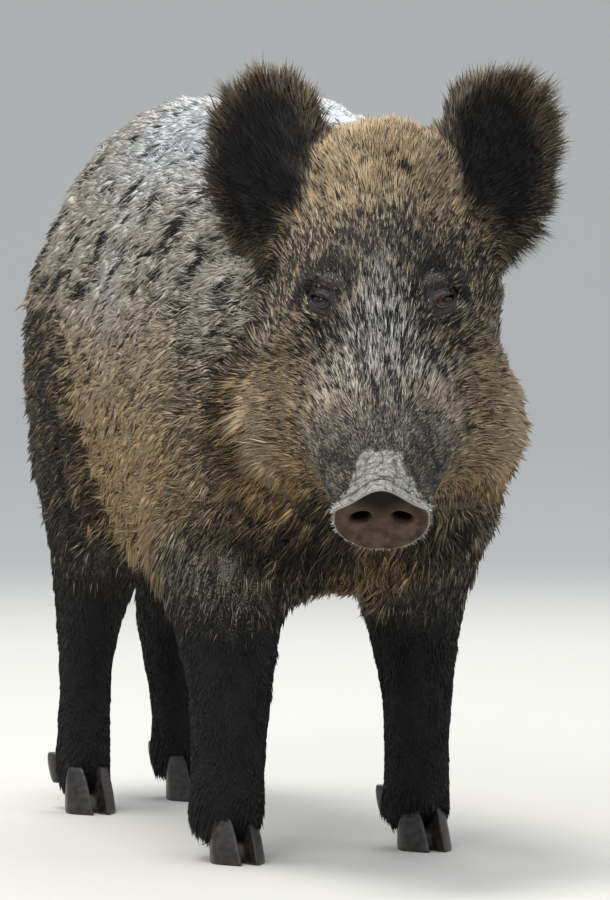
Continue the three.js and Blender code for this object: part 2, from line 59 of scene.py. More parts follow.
# a bell of the given width about a middle: exp(-((x - middle) / width)^2)
def bell(x, middle, width):
    return np.exp(-(((x - middle) / width) ** 2))


# plane waves of random direction added up: sin(k.p + phase) over twelve k of about the given grain
def ripple(p, grain, seed, stretch=(1, 1, 1)):
    draw = np.random.default_rng(seed)
    waves = unit(draw.normal(size=(12, 3))) * draw.uniform(0.6, 1.5, (12, 1)) * 2 * math.pi / grain
    return np.sin((p / np.array(stretch)) @ waves.T + draw.uniform(0, 2 * math.pi, 12)).sum(1) / 2.6


# sRGB hex to linear: c / 12.92 near black, else ((c + 0.055) / 1.055)^2.4
def linear(hexColour):
    parts = [int(hexColour[i : i + 2], 16) / 255 for i in (1, 3, 5)]
    return tuple(c / 12.92 if c <= 0.04045 else ((c + 0.055) / 1.055) ** 2.4 for c in parts) + (1,)


def middle(name):
    low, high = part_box(name)
    return (np.array(low) + np.array(high)) / 2


# one property of all items of a mesh, as rows
def rowsOf(items, key, width, kind=float):
    values = np.empty(len(items) * width, kind)
    items.foreach_get(key, values)
    return values.reshape(-1, width)


def pointsOf(mesh):
    return rowsOf(mesh.vertices, "co", 3)


def normalsOf(mesh):
    return rowsOf(mesh.vertex_normals, "vector", 3)


def edgesOf(mesh):
    return rowsOf(mesh.edges, "vertices", 2, np.int32)


# arrays to a mesh object at the origin; faces is rows of equal length
def newPiece(name, points, faces):
    mesh = bpy.data.meshes.new(name)
    sides = faces.shape[1]
    mesh.vertices.add(len(points))
    mesh.vertices.foreach_set("co", points.astype(np.float32).ravel())
    mesh.loops.add(faces.size)
    mesh.loops.foreach_set("vertex_index", faces.astype(np.int32).ravel())
    mesh.polygons.add(len(faces))
    mesh.polygons.foreach_set("loop_start", np.arange(0, faces.size, sides, dtype=np.int32))
    mesh.polygons.foreach_set("loop_total", np.full(len(faces), sides, dtype=np.int32))
    mesh.update(calc_edges=True)
    mesh.polygons.foreach_set("use_smooth", np.full(len(faces), True))
    piece = bpy.data.objects.new(name, mesh)
    bpy.context.scene.collection.objects.link(piece)
    return piece


# a piece from a grid of rings, each closed round: four-sided faces between a ring and the next
def ringPiece(name, grid):
    rings, count = grid.shape[:2]
    i, j = np.meshgrid(np.arange(rings - 1), np.arange(count), indexing="ij")
    here, beside = i * count + j, i * count + (j + 1) % count
    faces = np.stack([here, here + count, beside + count, beside], -1).reshape(-1, 4)
    return newPiece(name, grid.reshape(-1, 3), faces)


# poles and seams merged and every face turned outwards
def closeUp(piece):
    work = bmesh.new()
    work.from_mesh(piece.data)
    bmesh.ops.remove_doubles(work, verts=work.verts, dist=1e-6)
    bmesh.ops.recalc_face_normals(work, faces=work.faces)
    work.to_mesh(piece.data)
    work.free()


# each row moves towards the mean of its neighbours along the edges, round after round
def evened(values, edges, rounds):
    count = len(values)
    degree = np.maximum(np.bincount(edges.ravel(), minlength=count), 1)[:, None]
    a, b = edges.T
    for _ in range(rounds):
        columns = [
            np.bincount(a, values[b, k], count) + np.bincount(b, values[a, k], count)
            for k in range(values.shape[1])
        ]
        values = np.stack(columns, 1) / degree
    return values


def setAttribute(piece, name, values):
    attribute = piece.data.attributes.new(name, "FLOAT", "POINT")
    attribute.data.foreach_set("value", np.asarray(values, dtype=np.float32).ravel())


# an input takes a number or a colour, or a link from the socket given
def feed(material, node, inputs):
    for key, value in inputs.items():
        if isinstance(value, bpy.types.NodeSocket):
            material.node_tree.links.new(value, node.inputs[key])
        else:
            node.inputs[key].default_value = value


# one node with its settings and links; gives back one of its outputs
def addNode(material, kind, inputs, output=0, **settings):
    node = material.node_tree.nodes.new("ShaderNode" + kind)
    for key, value in settings.items():
        setattr(node, key, value)
    feed(material, node, inputs)
    return node.outputs[output]


asColour = {"output": 2, "data_type": "RGBA"}  # a Mix of colours: 0 is its factor, 6 and 7 are mixed


def newMaterial(name):
    material = bpy.data.materials.new(name)
    material.use_nodes = True
    return material


def setShader(material, inputs):
    feed(material, material.node_tree.nodes["Principled BSDF"], inputs)


view = {"azimuth": 20, "distance": 6.396, "aside": 0.052, "height": 0.6, "tilt": 1.68, "lens": 240}


def makeCamera():
    turn = math.radians(view["azimuth"])
    ahead = np.array([math.sin(turn), math.cos(turn), 0])
    across = np.array([math.cos(turn), -math.sin(turn), 0])
    data = bpy.data.cameras.new("camera")
    data.lens, data.sensor_width, data.clip_end = view["lens"], 36, 100
    camera = bpy.data.objects.new("camera", data)
    camera.location = across * view["aside"] - ahead * view["distance"]
    camera.location.z = view["height"]
    camera.rotation_euler = (math.radians(90 - view["tilt"]), 0, -turn)
    bpy.context.scene.collection.objects.link(camera)
    bpy.context.scene.camera = camera


lampAim = np.array([0, -0.2, 0.5])  # the shoulders
lamps = [
    {"name": "top", "place": (-0.7, 0.1, 4.2), "size": 1.4, "power": 105, "colour": (1.0, 0.97, 0.92)},
    {"name": "key", "place": (-2.6, -3.6, 3.4), "size": 1.8, "power": 78, "colour": (1.0, 0.98, 0.95)},
    {"name": "fill", "place": (3.0, -3.6, 1.8), "size": 2.4, "power": 12, "colour": (0.92, 0.96, 1.0)},
    {"name": "back", "place": (1.6, 3.6, 3.2), "size": 2.0, "power": 60, "colour": (1.0, 0.97, 0.93)},
]


# soft area lights, and a sky a little bluer than they are
def makeLight():
    world = bpy.data.worlds.new("studio")
    world.use_nodes = True
    world.node_tree.nodes["Background"].inputs["Color"].default_value = linear("#d6dee8")
    world.node_tree.nodes["Background"].inputs["Strength"].default_value = 1.0
    bpy.context.scene.world = world
    bpy.context.scene.view_settings.view_transform = "Standard"
    for made in lamps:
        data = bpy.data.lights.new(made["name"], "AREA")
        data.shape, data.size = "SQUARE", made["size"]
        data.energy, data.color = made["power"], made["colour"]
        lamp = bpy.data.objects.new(made["name"], data)
        lamp.location = made["place"]
        aim = lampAim - np.array(made["place"])
        level = math.hypot(aim[0], aim[1])
        lamp.rotation_euler = (math.atan2(level, -aim[2]), 0, math.atan2(aim[1], aim[0]) - math.pi / 2)
        bpy.context.scene.collection.objects.link(lamp)


floorShape = {"near": 3.0, "half": 9.0, "flatOut": 17.0, "bend": 7.0, "top": 8.0}


# a bowl turned about Z: flat out to flatOut, then a quarter circle of radius bend, then straight up
def makeFloor():
    flatOut, bend = floorShape["flatOut"], floorShape["bend"]
    turn = np.linspace(0, math.pi / 2, 17)
    near, half = floorShape["near"], floorShape["half"]
    radius = np.hstack([near, half, flatOut + bend * np.sin(turn), flatOut + bend])
    height = np.hstack([0, 0, bend - bend * np.cos(turn), floorShape["top"]])
    around = np.linspace(0, 2 * math.pi, 97)[:-1]
    radius, height = radius[:, None], height[:, None]
    grid = np.stack([radius * np.cos(around), radius * np.sin(around), height + 0 * around], -1)
    paper = newMaterial("studio paper")  # matt and pale, so the shadow under the feet reads
    setShader(paper, {"Base Color": linear("#d8d5ce"), "Roughness": 0.95})
    inner = newPiece("floor_middle", grid[0], np.arange(len(around))[None, :])
    for stage in (ringPiece("floor", grid), inner):
        stage.data.materials.append(paper)


makeCamera()
makeLight()
makeFloor()
print("stage ready")


eyes = {1: middle("eye_left"), -1: middle("eye_right")}
headMiddle = (eyes[1] + eyes[-1]) / 2
headLeft = unit(eyes[1] - eyes[-1])
toDisc = middle("snout_disc") - headMiddle
headAhead = unit(toDisc - headLeft * (toDisc @ headLeft))
headFace = np.cross(headAhead, headLeft)
headAxes = np.stack([headLeft, headAhead, headFace])


# places to the head's own measures: aside, down the face, out of the face
def inHead(p):
    return ((p - headMiddle) @ headAxes.T).T


# a node's middle, and its points' own directions: across, up, and out along their thin one
def planeOf(name, towards):
    points = pointsOf(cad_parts[name].data)
    spread = np.linalg.svd(points - points.mean(0), full_matrices=False)[2]
    out = spread[2] * np.sign(spread[2] @ towards)
    up = unit(np.array([0.0, 0, 1]) - out * out[2])
    return middle(name), np.cross(up, out), up, out


disc = {
    "wide": 0.0465,  # half the width at its widest
    "narrow": 0.12,  # how much narrower it gets towards the bottom
    "shoulder": 0.02,  # how far the upper edge lies over the widest level
    "peak": 0.022,  # and its rounded peak over that
    "peakWide": 0.043,  # half the peak's width
    "low": 0.037,
    "notch": 0.002,
    "below": 0.003,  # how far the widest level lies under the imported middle
    "lip": 0.008,  # how far the upper edge overhangs the face
    "thick": 0.02,
    "nostril": 0.0205,  # how far a nostril's middle is from the pad's
    "nostrilWide": 0.0105,
    "nostrilHigh": 0.0074,
    "nostrilDeep": 0.017,
    "hollow": 0.0025,  # how deep the face is dished
    "relief": 0.0012,  # the rim's height and the middle groove's depth
    "back": 0.24,  # how far the sides run back, as a share of the face's own run
}
padPlane = planeOf("snout_disc", np.array([0, -1.0, 0]))


# the pad's outline by the angle round it: below an oval that narrows, above a flat arch with a
# rounded peak, 1 + cos across the middle, and a small notch at the bottom
def padOutline(turn):
    upper, lower = np.maximum(np.sin(turn), 0), np.maximum(-np.sin(turn), 0)
    x = disc["wide"] * np.cos(turn) * (1 - disc["narrow"] * lower**2)
    roof = disc["peak"] * (0.5 + 0.5 * np.cos(math.pi * np.minimum(np.abs(x) / disc["peakWide"], 1)))
    z = disc["shoulder"] * upper**0.45 + roof * ease(0, 0.4, upper) - disc["low"] * lower**0.9
    return x, z + disc["notch"] * bell(x, 0, 0.006) * lower


# how far out in the pad's outline places are: 0 at its middle, 1 on its edge; and their plane measures
def overPad(p):
    centre, across, up, out = padPlane
    d = p - centre
    x, z = d @ across, d @ up + disc["below"]
    edgeX, edgeZ = padOutline(np.linspace(-math.pi, math.pi, 361))
    angle = np.unwrap(np.arctan2(edgeZ, edgeX))
    edge = np.interp(np.arctan2(z, x), angle, np.hypot(edgeX, edgeZ))
    return np.hypot(x, z) / edge, x, z, d @ out


zones = ["trunk", "neck", "head", "jaw", "ear", "leg", "shank", "tail"]
zoneOf = {"trunk": 0, "neck": 1, "head": 2, "lower_jaw": 3, "ear_left": 4, "ear_right": 4, "tail": 7}
legSides = [(end, side) for end in ("fore", "hind") for side in ("left", "right")]
for end, side in legSides:
    zoneOf[f"{end}leg_{side}_upper"] = 5
    zoneOf[f"{end}leg_{side}_lower"] = 6

skinSizes = {
    "voxel": 0.0066,
    "grow": 0.0013,  # how far the nodes swell to meet over their cuts
    "rounds": 20,  # of evening over the body
    "earRounds": 3,
    "zoneRounds": 9,
    "borderRounds": 29,
    "depthRounds": 5,
    "earRim": 0.009,  # how far an ear's skin stays behind its rim, and its faces
    "earFace": 0.0015,
    "flatter": 0.92,  # how deep the skin lies, as a share of the hair's own height
    "crease": 0.012,
    "footDrop": 0.024,
}


# a node's mesh merged, as points and triangles, each point moved out along its normal by grow
def mergedNode(name, grow):
    work = bmesh.new()
    work.from_mesh(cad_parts[name].data)
    bmesh.ops.remove_doubles(work, verts=work.verts, dist=1e-5)
    mesh = bpy.data.meshes.new("merged")
    work.to_mesh(mesh)
    work.free()
    points = pointsOf(mesh) + normalsOf(mesh) * grow
    triangles = rowsOf(mesh.loops, "vertex_index", 1, np.int32).reshape(-1, 3)
    bpy.data.meshes.remove(mesh)
    return points, triangles


# all flesh as one closed shell: the nodes swollen past their cuts, then remeshed in small cubes
def fusedFlesh():
    parts = [mergedNode(name, skinSizes["grow"]) for name in [*zoneOf, "eye_left", "eye_right"]]
    starts = np.cumsum([0] + [len(points) for points, _ in parts])
    points = np.concatenate([p for p, _ in parts])
    faces = np.concatenate([f + start for (_, f), start in zip(parts, starts)])
    rough = newPiece("rough", points, faces)
    remesh = rough.modifiers.new("remesh", "REMESH")
    remesh.mode, remesh.voxel_size, remesh.adaptivity = "VOXEL", skinSizes["voxel"], 0
    evaluated = rough.evaluated_get(bpy.context.evaluated_depsgraph_get())
    mesh = bpy.data.meshes.new_from_object(evaluated)
    bpy.data.objects.remove(rough)
    mesh.name = "skin"
    return mesh


# faces near the given points are cut in four, once for each radius
def finer(mesh, centres, radii):
    for radius in radii:
        work = bmesh.new()
        work.from_mesh(mesh)
        near = np.min([np.linalg.norm(pointsOf(mesh) - c, axis=1) for c in centres], axis=0) < radius
        chosen = np.flatnonzero(near[edgesOf(mesh)].all(1))
        work.edges.ensure_lookup_table()
        bmesh.ops.subdivide_edges(work, edges=[work.edges[i] for i in chosen], cuts=1, use_grid_fill=True)
        work.to_mesh(mesh)
        work.free()
        mesh.update()


# the share that each zone has in each point: that of the nearest packed point, evened out
def zoneShares(points, edges):
    known = {name: mergedNode(name, 0)[0] for name in zoneOf}
    places = np.concatenate(list(known.values())).astype(np.float32)
    owner = np.concatenate([np.full(len(p), zoneOf[name]) for name, p in known.items()])
    square = (places**2).sum(1)
    nearest = np.concatenate(
        [
            np.argmin(square - 2 * part @ places.T, axis=1)
            for part in np.array_split(points.astype(np.float32), 60)
        ]
    )
    shares = evened(np.eye(len(zones))[owner[nearest]], edges, skinSizes["zoneRounds"])
    # trunk and leg pass into one another over a wider, ragged border
    both = shares[:, [0, 5]].sum(1)
    broad = evened(shares[:, [0, 5]], edges, skinSizes["borderRounds"])
    leg = broad[:, 1] / np.maximum(broad.sum(1), 1e-6) + 0.12 * ripple(points, 0.03, 12)
    shares[:, 5] = both * ease(0.15, 0.85, leg)
    shares[:, 0] = both - shares[:, 5]
    return shares


earPlanes = {1: planeOf("ear_left", headFace), -1: planeOf("ear_right", headFace)}
earSizes = {"wide": 0.064, "high": 0.1, "rootIn": 0.045, "rootDown": 0.055}


# 1 on the head's left, -1 on its right
def sideOf(p):
    return np.where(inHead(p)[0] > 0, 1, -1)


# over an ear's blade: how far out a point is, 0 at the middle and 1 at the rim; its outward
# direction; and the hair's flow, away from the lower inner edge where the ear joins the head
def overEar(p):
    side = sideOf(p)
    far, outward, flow = np.zeros(len(p)), np.zeros((len(p), 3)), np.zeros((len(p), 3))
    for s, (centre, wide, up, _) in earPlanes.items():
        mine = side == s
        d = p[mine] - centre
        x, z = d @ wide / earSizes["wide"], d @ up / earSizes["high"]
        far[mine] = np.hypot(x, z)
        outward[mine] = unit(x[:, None] * wide + z[:, None] * up)
        towards = wide * np.sign(wide @ headLeft) * s
        flow[mine] = unit(d + towards * earSizes["rootIn"] + up * earSizes["rootDown"])
    return far, outward, flow


# how far behind the crease between flank and haunch places are, in metres
def behindCrease(p):
    return p[:, 1] - 0.24 - 0.1 * (p[:, 2] - 0.35) - 0.5 * np.maximum(p[:, 2] - 0.5, 0)


def overHaunch(behind, z):
    return ease(-0.05, 0.07, behind) * ease(0.68, 0.5, z)


# places about the nearer eye: outward from the nose, up the face, and the distance
def aroundEye(p):
    side = sideOf(p)
    d = p - np.where((side > 0)[:, None], eyes[1], eyes[-1])
    return (d @ headLeft) * side, -(d @ headAhead), np.linalg.norm(d, axis=1)


# The coat by zone and by mark. Each measure is the sum, over the zones, of the zone's share times
# the sum of these amounts times the marks' strengths. length and width are in metres, lift is the
# sine of a lock's angle to the skin, light the share of light-tipped hair, pale and warm say towards
# which colour its tips go, and dark how black its roots are.
coatLook = {
    "length": {
        "trunk": {"all": 0.018, "backTop": 0.002, "bellyFringe": 0.016},
        "neck": {"all": 0.016, "low": 0.008},
        "shortFace": {
            "all": 0.0125, "crown": 0.002, "cheek": 0.004, "ruff": 0.006, "jowl": 0.01, "throat": 0.006
        },
        "jaw": {"all": 0.013, "throat": 0.012},
        "ear": {"all": 0.016},
        "leg": {"all": 0.011, "legTop": 0.006, "elbow": 0.018},
        "shank": {"all": 0.008, "coronet": 0.009},
        "tail": {"all": 0.03, "tuft": 0.024},
    },
    "lift": {
        "trunk": {"all": 0.34},
        "neck": {"all": 0.3},
        "body": {"ridge": -0.1},
        "head": {"all": 0.24, "crown": 0.16, "ruff": 0.04, "jowl": 0.06},
        "jaw": {"all": 0.3},
        "ear": {"all": 0.22},
        "leg": {"all": 0.16},
        "shank": {"all": 0.12},
        "tail": {"all": 0.3},
    },
    "width": {
        "trunk": {"all": 0.00064},
        "neck": {"all": 0.00062},
        "head": {"all": 0.0005},
        "jaw": {"all": 0.0006},
        "ear": {"all": 0.00048},
        "leg": {"all": 0.00078},
        "shank": {"all": 0.00085},
        "tail": {"all": 0.0008},
    },
    "light": {
        "body": {"all": 0.66, "top": 0.2, "haunch": -0.42, "lowHaunch": -0.1, "belly": 0.03, "chest": -0.5},
        # the marks behind the jaw and behind the jowl take light tips away: painted shade under the head and
        # cheeks
        "neck": {"all": -0.03, "shadeBehindJaw": -0.12},
        "legs": {"legTop": 0.24, "foreTop": 0.18, "elbow": 0.4},
        "ear": {"all": 0.05},
        "tail": {"all": 0.2},
        "whole": {"bib": 0.4},
        "face": {
            "all": 0.32, "crown": 0.41, "forehead": -0.06, "temple": -0.06, "socket": -0.4, "blaze": 0.12,
            "beside": 0.3, "wing": -0.06, "cheek": 0.33, "ruff": 0.1, "jowl": 0.26, "shadeBehindJowl": -0.17,
            "underMuzzle": -0.08, "chin": 0.4, "throat": -0.25
        },
    },
    "pale": {
        "body": {"offHaunch": 0.07, "upper": 0.32, "saddle": 0.6, "patch": 0.4},
        "legs": {"all": 0.2, "elbow": -0.2},
        "whole": {"bib": -0.7},
        "face": {
            "all": 0.1, "blaze": 0.62, "beside": 0.05, "jowl": 0.12, "ruff": 0.06, "throat": -0.2,
            "muzzle": 0.12, "chin": -1
        },
    },
    "warm": {
        "body": {"all": 0.2, "lower": 0.5, "belly": 0.4},
        "neck": {"all": -0.35},
        "legs": {"elbow": 1},
        "ear": {"all": 0.7},
        "whole": {"bib": 1},
        "face": {
            "all": 0.55, "crown": 0.2, "cheek": 0.5, "throat": 0.25, "blaze": -0.6, "muzzle": -0.3, "chin": 1
        },
    },
    "dark": {
        "body": {"all": 0.3, "front": 0.5, "lowHaunch": 0.3},
        "legs": {"all": 0.3, "legLow": 0.7},
        "ear": {"all": 1},
        "tail": {"all": 0.9},
        "face": {"all": 0.35, "socket": 0.7},
    },
}


# the strength of each mark of the head, from 0 to 1: bells and eases over the head's own measures, in
# metres. lids is the thin skin about the eyes, snout is bare and folded, and bare has no hair at all
def headMarks(p, face, head):
    aside, down, out = inHead(p)
    wide = np.abs(aside)
    u, v, eyeGap = aroundEye(p)
    lids = ease(1.2, 0.75, np.hypot((u + 0.006) / 0.016, (v - 0.003) / 0.0245)) * (eyeGap < 0.045)
    lids = face * np.maximum(lids, ease(0.0168, 0.015, eyeGap))
    ring = np.hypot((u + 0.002) / 0.024, (v - 0.004) / 0.03)
    brow = bell(ring, 1.1, 0.16) * ease(-0.012, 0.006, v) * ease(0.032, 0.02, u)
    under = bell(v, -0.027, 0.008) * bell(u, 0.01, 0.013)
    over = ease(1.2, 0.95, ring) * ease(-0.004, 0.006, v)
    edge = 0.016 + 0.46 * (down - 0.169) - wide + 0.0025 * ripple(p, 0.008, 7)
    snout = ease(-0.002, 0.002, edge) * ease(0.165, 0.176, down + 0.002 * ripple(p, 0.007, 8))
    snout = snout * ease(-0.05, -0.02, out) * head
    jowl = ease(0.085, 0.11, wide) * ease(-0.07, -0.03, down) * ease(0.14, 0.1, down)
    blazeWide = 0.022 + 0.34 * np.clip(down + 0.01, 0, 0.09)
    return {
        "crown": ease(-0.045, -0.15, down + 0.006 * ripple(p, 0.03, 9)),
        "forehead": bell(down, -0.078, 0.03),
        "temple": bell(wide, 0.062, 0.024) * bell(down, -0.036, 0.02),
        "socket": np.clip(0.45 * brow + 0.3 * under + 0.36 * over, 0, 1) * face,
        "blaze": bell(wide, 0, blazeWide) * bell(down, 0.035, 0.075),
        "beside": bell(wide, 0.052, 0.022) * bell(down, 0.105, 0.036),
        "wing": bell(wide, 0.05, 0.018) * bell(down, 0.16, 0.03),
        "cheek": ease(0.055, 0.1, wide) * ease(-0.01, 0.05, down),
        "ruff": bell(wide, 0.115, 0.025) * ease(0.02, 0.06, down),
        "jowl": bell(out, -0.12, 0.032) * jowl,
        # the two marks behind the jowl and the jaw place painted shade under the head and cheeks
        "shadeBehindJowl": ease(-0.138, -0.156, out) * ease(-0.09, -0.05, down) * ease(0.12, 0.08, down),
        "muzzle": ease(0.11, 0.15, down) * ease(0.1, 0.055, wide),
        "underMuzzle": ease(-0.06, -0.1, out) * ease(0.1, 0.14, down),
        "chin": ease(0.12, 0.17, down) * ease(-0.035, -0.1, out),
        "throat": ease(-0.1, -0.17, out),
        "shadeBehindJaw": ease(-0.04, -0.15, out) * ease(0.6, 0.5, p[:, 2]),
        "lids": lids,
        "snout": snout,
        "bare": np.clip(snout + 0.85 * lids + ease(0.0155, 0.0145, eyeGap), 0, 1),
    }


# the strength of each mark of the body and the legs, over x, y and z in metres
def bodyMarks(p, legs):
    x, y, z = p.T
    ragged = behindCrease(p) + 0.012 * ripple(p, 0.05, 10) + 0.008 * ripple(p, 0.02, 14)
    haunch = overHaunch(ragged, z)
    belly = ease(0.5, 0.38, z) * ease(-0.32, -0.15, y + 0.02 * ripple(p, 0.04, 17))
    belly = belly * ease(0.05, -0.07, ragged)
    front = ease(-0.17, -0.28, y) * ease(0.41, 0.31, z)
    elbow = ease(0.25, 0.34, z + 0.014 * ripple(p, 0.03, 13)) * ease(-0.225, -0.19, y) * ease(0.0, -0.1, y)
    low, offHaunch, legTop = ease(0.5, 0.34, z), 1 - 0.8 * haunch, ease(0.2, 0.32, z)
    return {
        "all": 1 + 0 * x,
        "low": low,
        "lower": ease(0.62, 0.46, z),
        "backTop": ease(0.6, 0.72, z),
        "top": ease(0.6, 0.74, z),
        "ridge": ease(0.7, 0.76, z),
        "upper": ease(0.46, 0.63, z) * offHaunch,
        "saddle": ease(0.64, 0.74, z) * ease(0.34, 0.08, y) * offHaunch,
        "patch": bell(y, 0.05, 0.07) * bell(z, 0.61, 0.06) * (1 - haunch),
        "haunch": haunch,
        "offHaunch": offHaunch,
        "lowHaunch": haunch * low,
        "belly": belly,
        "bellyFringe": ease(0.38, 0.32, z) * belly,
        "front": front,
        "chest": front * (1 - belly),
        "bib": bell(x, 0.022, 0.05) * bell(z, 0.312, 0.03) * ease(-0.22, -0.28, y) * (1 - legs),
        "elbow": elbow,
        "legTop": legTop,
        "foreTop": ease(0.05, -0.05, y) * legTop,
        "legLow": ease(0.34, 0.18, z),
        "coronet": ease(0.085, 0.05, z),
        "tuft": ease(0.46, 0.4, z),
    }


# the coat's measures at any places, from their shares of the zones
def coatAt(p, zone):
    shares = {**dict(zip(zones, zone.T)), "whole": 1}
    shares["body"] = shares["trunk"] + shares["neck"]
    shares["face"] = shares["head"] + shares["jaw"]
    shares["legs"] = shares["leg"] + shares["shank"]
    marks = {**headMarks(p, shares["face"], shares["head"]), **bodyMarks(p, shares["legs"])}
    shares["shortFace"] = shares["head"] * (1 - 0.5 * marks["muzzle"]) * (1 - 0.7 * marks["lids"])
    look = {
        measure: sum(
            shares[name] * sum(amount * marks[mark] for mark, amount in amounts.items())
            for name, amounts in table.items()
        )
        for measure, table in coatLook.items()
    }
    for name in ("light", "pale", "warm", "dark"):
        look[name] = np.clip(look[name], 0, 1)
    return {**look, **{name: marks[name] for name in ("snout", "lids", "bare")}}


eyeSizes = {
    "ball": 0.012,
    "openWide": 0.0082,
    "openHigh": 0.0063,
    "lid": 0.0012,
    "slant": 0.45,
    "lidReach": 0.034,
    "rim": 0.0006,
    "ridge": 0.0055,  # the brow's height
    "hollow": 0.0035,
    # folds over and under the lids: height, bend and depth
    "folds": ((0.0098, -11, 0.0017), (0.0145, -9, 0.0015), (-0.0104, 11, 0.0013), (-0.0148, 9, 0.0012)),
}


# each eye's own directions: across the opening, up and out
def eyeFrame(side):
    out = unit(headAxes.T @ np.array([0.5 * side, 0.12, 0.86]))
    up = unit(-headAhead + out * (headAhead @ out))
    return np.cross(up, out), up, out


# places over an eye: the heights above the slanted middle line, out of the face, the distance from
# the gaze, and opening, which is 1 on the lids' edges
def overEye(p, side):
    across, up, out = eyeFrame(side)
    d = p - eyes[side]
    u, v, h = d @ across, d @ up, d @ out
    slant = v - eyeSizes["slant"] * u * side
    high = np.where(slant > 0, 0.8, 1.1) * eyeSizes["openHigh"]
    return u, slant, h, np.hypot(u, v), np.hypot(u / eyeSizes["openWide"], slant / high)


# over the ball the skin is a shell one lid's thickness out; inside the opening it drops behind the
# ball. Folds bend round the lids, a ridge stands over them, and a hollow runs round the ball
def shapeLids(points):
    ball, lid = eyeSizes["ball"], eyeSizes["lid"]
    for side in eyes:
        out = eyeFrame(side)[2]
        u, slant, h, far, opening = overEye(points, side)
        near = (far < eyeSizes["lidReach"]) & (h > -0.012)
        dome = np.sqrt(np.maximum((ball + lid) ** 2 - far**2, (0.35 * ball) ** 2))
        rim = eyeSizes["rim"] * bell(opening, 1.22, 0.16)
        folds = sum(
            -depth * bell(slant, level + bend * u**2, 0.0011) * ease(0.017, 0.008, np.abs(u))
            for level, bend, depth in eyeSizes["folds"]
        )
        ridge = eyeSizes["ridge"] * bell(slant, 0.022, 0.007) * bell(u, 0, 0.022)
        hollow = -eyeSizes["hollow"] * bell(far, 0.0185, 0.005) * ease(0.014, 0.0, np.abs(slant - 0.008))
        lidded = np.maximum(dome, h - 0.004) + rim
        mix = ease(0.021, 0.0125, far)
        target = h * (1 - mix) + lidded * mix + folds + ridge + hollow
        target = np.where(opening < 1.02, ball * 0.45, target)
        points = points + np.where(near, target - h, 0)[:, None] * out
    return points


# behind the snout's pad the skin widens to the pad's own outline
def flared(points, normals):
    _, across, up, out = padPlane
    far, x, z, h = overPad(points)
    mix = ease(-0.062, -0.022, h) * ease(0.45, 0.7, far) * (far < 1.35)
    swell = (np.maximum(far, 0.985) / np.maximum(far, 0.1) - 1) * mix
    sunk = np.maximum(h + 0.03, 0) * ease(0.55, 0.85, normals @ out) * ease(0.9, 0.74, far * (1 + swell))
    return points + (x * swell)[:, None] * across + (z * swell)[:, None] * up - sunk[:, None] * out


# the skin's end over each foot comes down and out a little, so that hair covers the claws' tops
def footed(points):
    for end, side in legSides:
        centre = (middle(f"claw_{end}_{side}_inner") + middle(f"claw_{end}_{side}_outer")) / 2
        d = points - centre
        near = ease(0.1, 0.055, points[:, 2]) * (np.hypot(d[:, 0], d[:, 1]) < 0.075)
        spread = d * np.stack([0.16 + 0 * near, np.where(d[:, 1] > 0, 0.16, 0.28), 0 * near], 1)
        points = points + near[:, None] * (spread - np.array([0, 0, skinSizes["footDrop"]]))
    return points


lieOf = {
    "trunk": (0, 1, -0.5),
    "neck": (0, 1, -0.3),
    "leg": (0, 0.3, -1),
    "shank": (0, 0.15, -1),
    "tail": (0, 0.1, -1),
}


# the lie of the coat: which way the hair points over the skin, by zone, laid flat on it
def lieAt(p, n, zone):
    aside, down, _ = inHead(p)
    side = np.tanh(aside / 0.03)
    wide = np.abs(aside)
    cheek = ease(0.05, 0.1, wide) * ease(-0.04, 0.06, down)
    muzzle = ease(0.1, 0.14, down) * ease(0.012, 0.035, wide)
    apart = side * (0.3 * ease(0, 0.06, wide) + 0.75 * cheek + 0.9 * muzzle)
    ways = {name: np.tile(np.array(way, float), (len(p), 1)) for name, way in lieOf.items()}
    ways["head"] = (
        -headAhead * (1 - 0.55 * cheek)[:, None]
        + headLeft * apart[:, None]
        - headFace * (0.55 * cheek + 0.2)[:, None]
        - np.array([0, 0, 1.0]) * (0.5 * ease(0.1, 0.14, wide) * cheek)[:, None]
    )
    ways["jaw"] = np.array([0, 0.6, -0.8]) + headLeft * (0.4 * side)[:, None]
    ways["ear"] = overEar(p)[2]
    lie = sum(unit(ways[name]) * zone[:, k, None] for k, name in enumerate(zones))
    lie = lie - n * (lie * n).sum(1)[:, None]
    return unit(lie + 1e-6)


# the folds across the top of the snout, bent as the pad's upper edge is: 1 in a groove
def grooves(p):
    aside, down, _ = inHead(p)
    run = down - 0.5 * np.sqrt(aside**2 + 0.01**2) + 0.0024 * ripple(p, 0.016, 5)
    wide, fine = (1 - np.abs(np.sin(run * math.pi / grain)) for grain in (0.0066, 0.0031))
    cracks = (1 - np.abs(np.sin((aside + 0.003 * ripple(p, 0.03, 15)) * math.pi / 0.013))) ** 6
    fold = wide**2.5 * (0.75 + 0.35 * ripple(p, 0.012, 16)) + 0.5 * fine**3 + 0.8 * cracks
    return np.clip(fold, 0, 1)


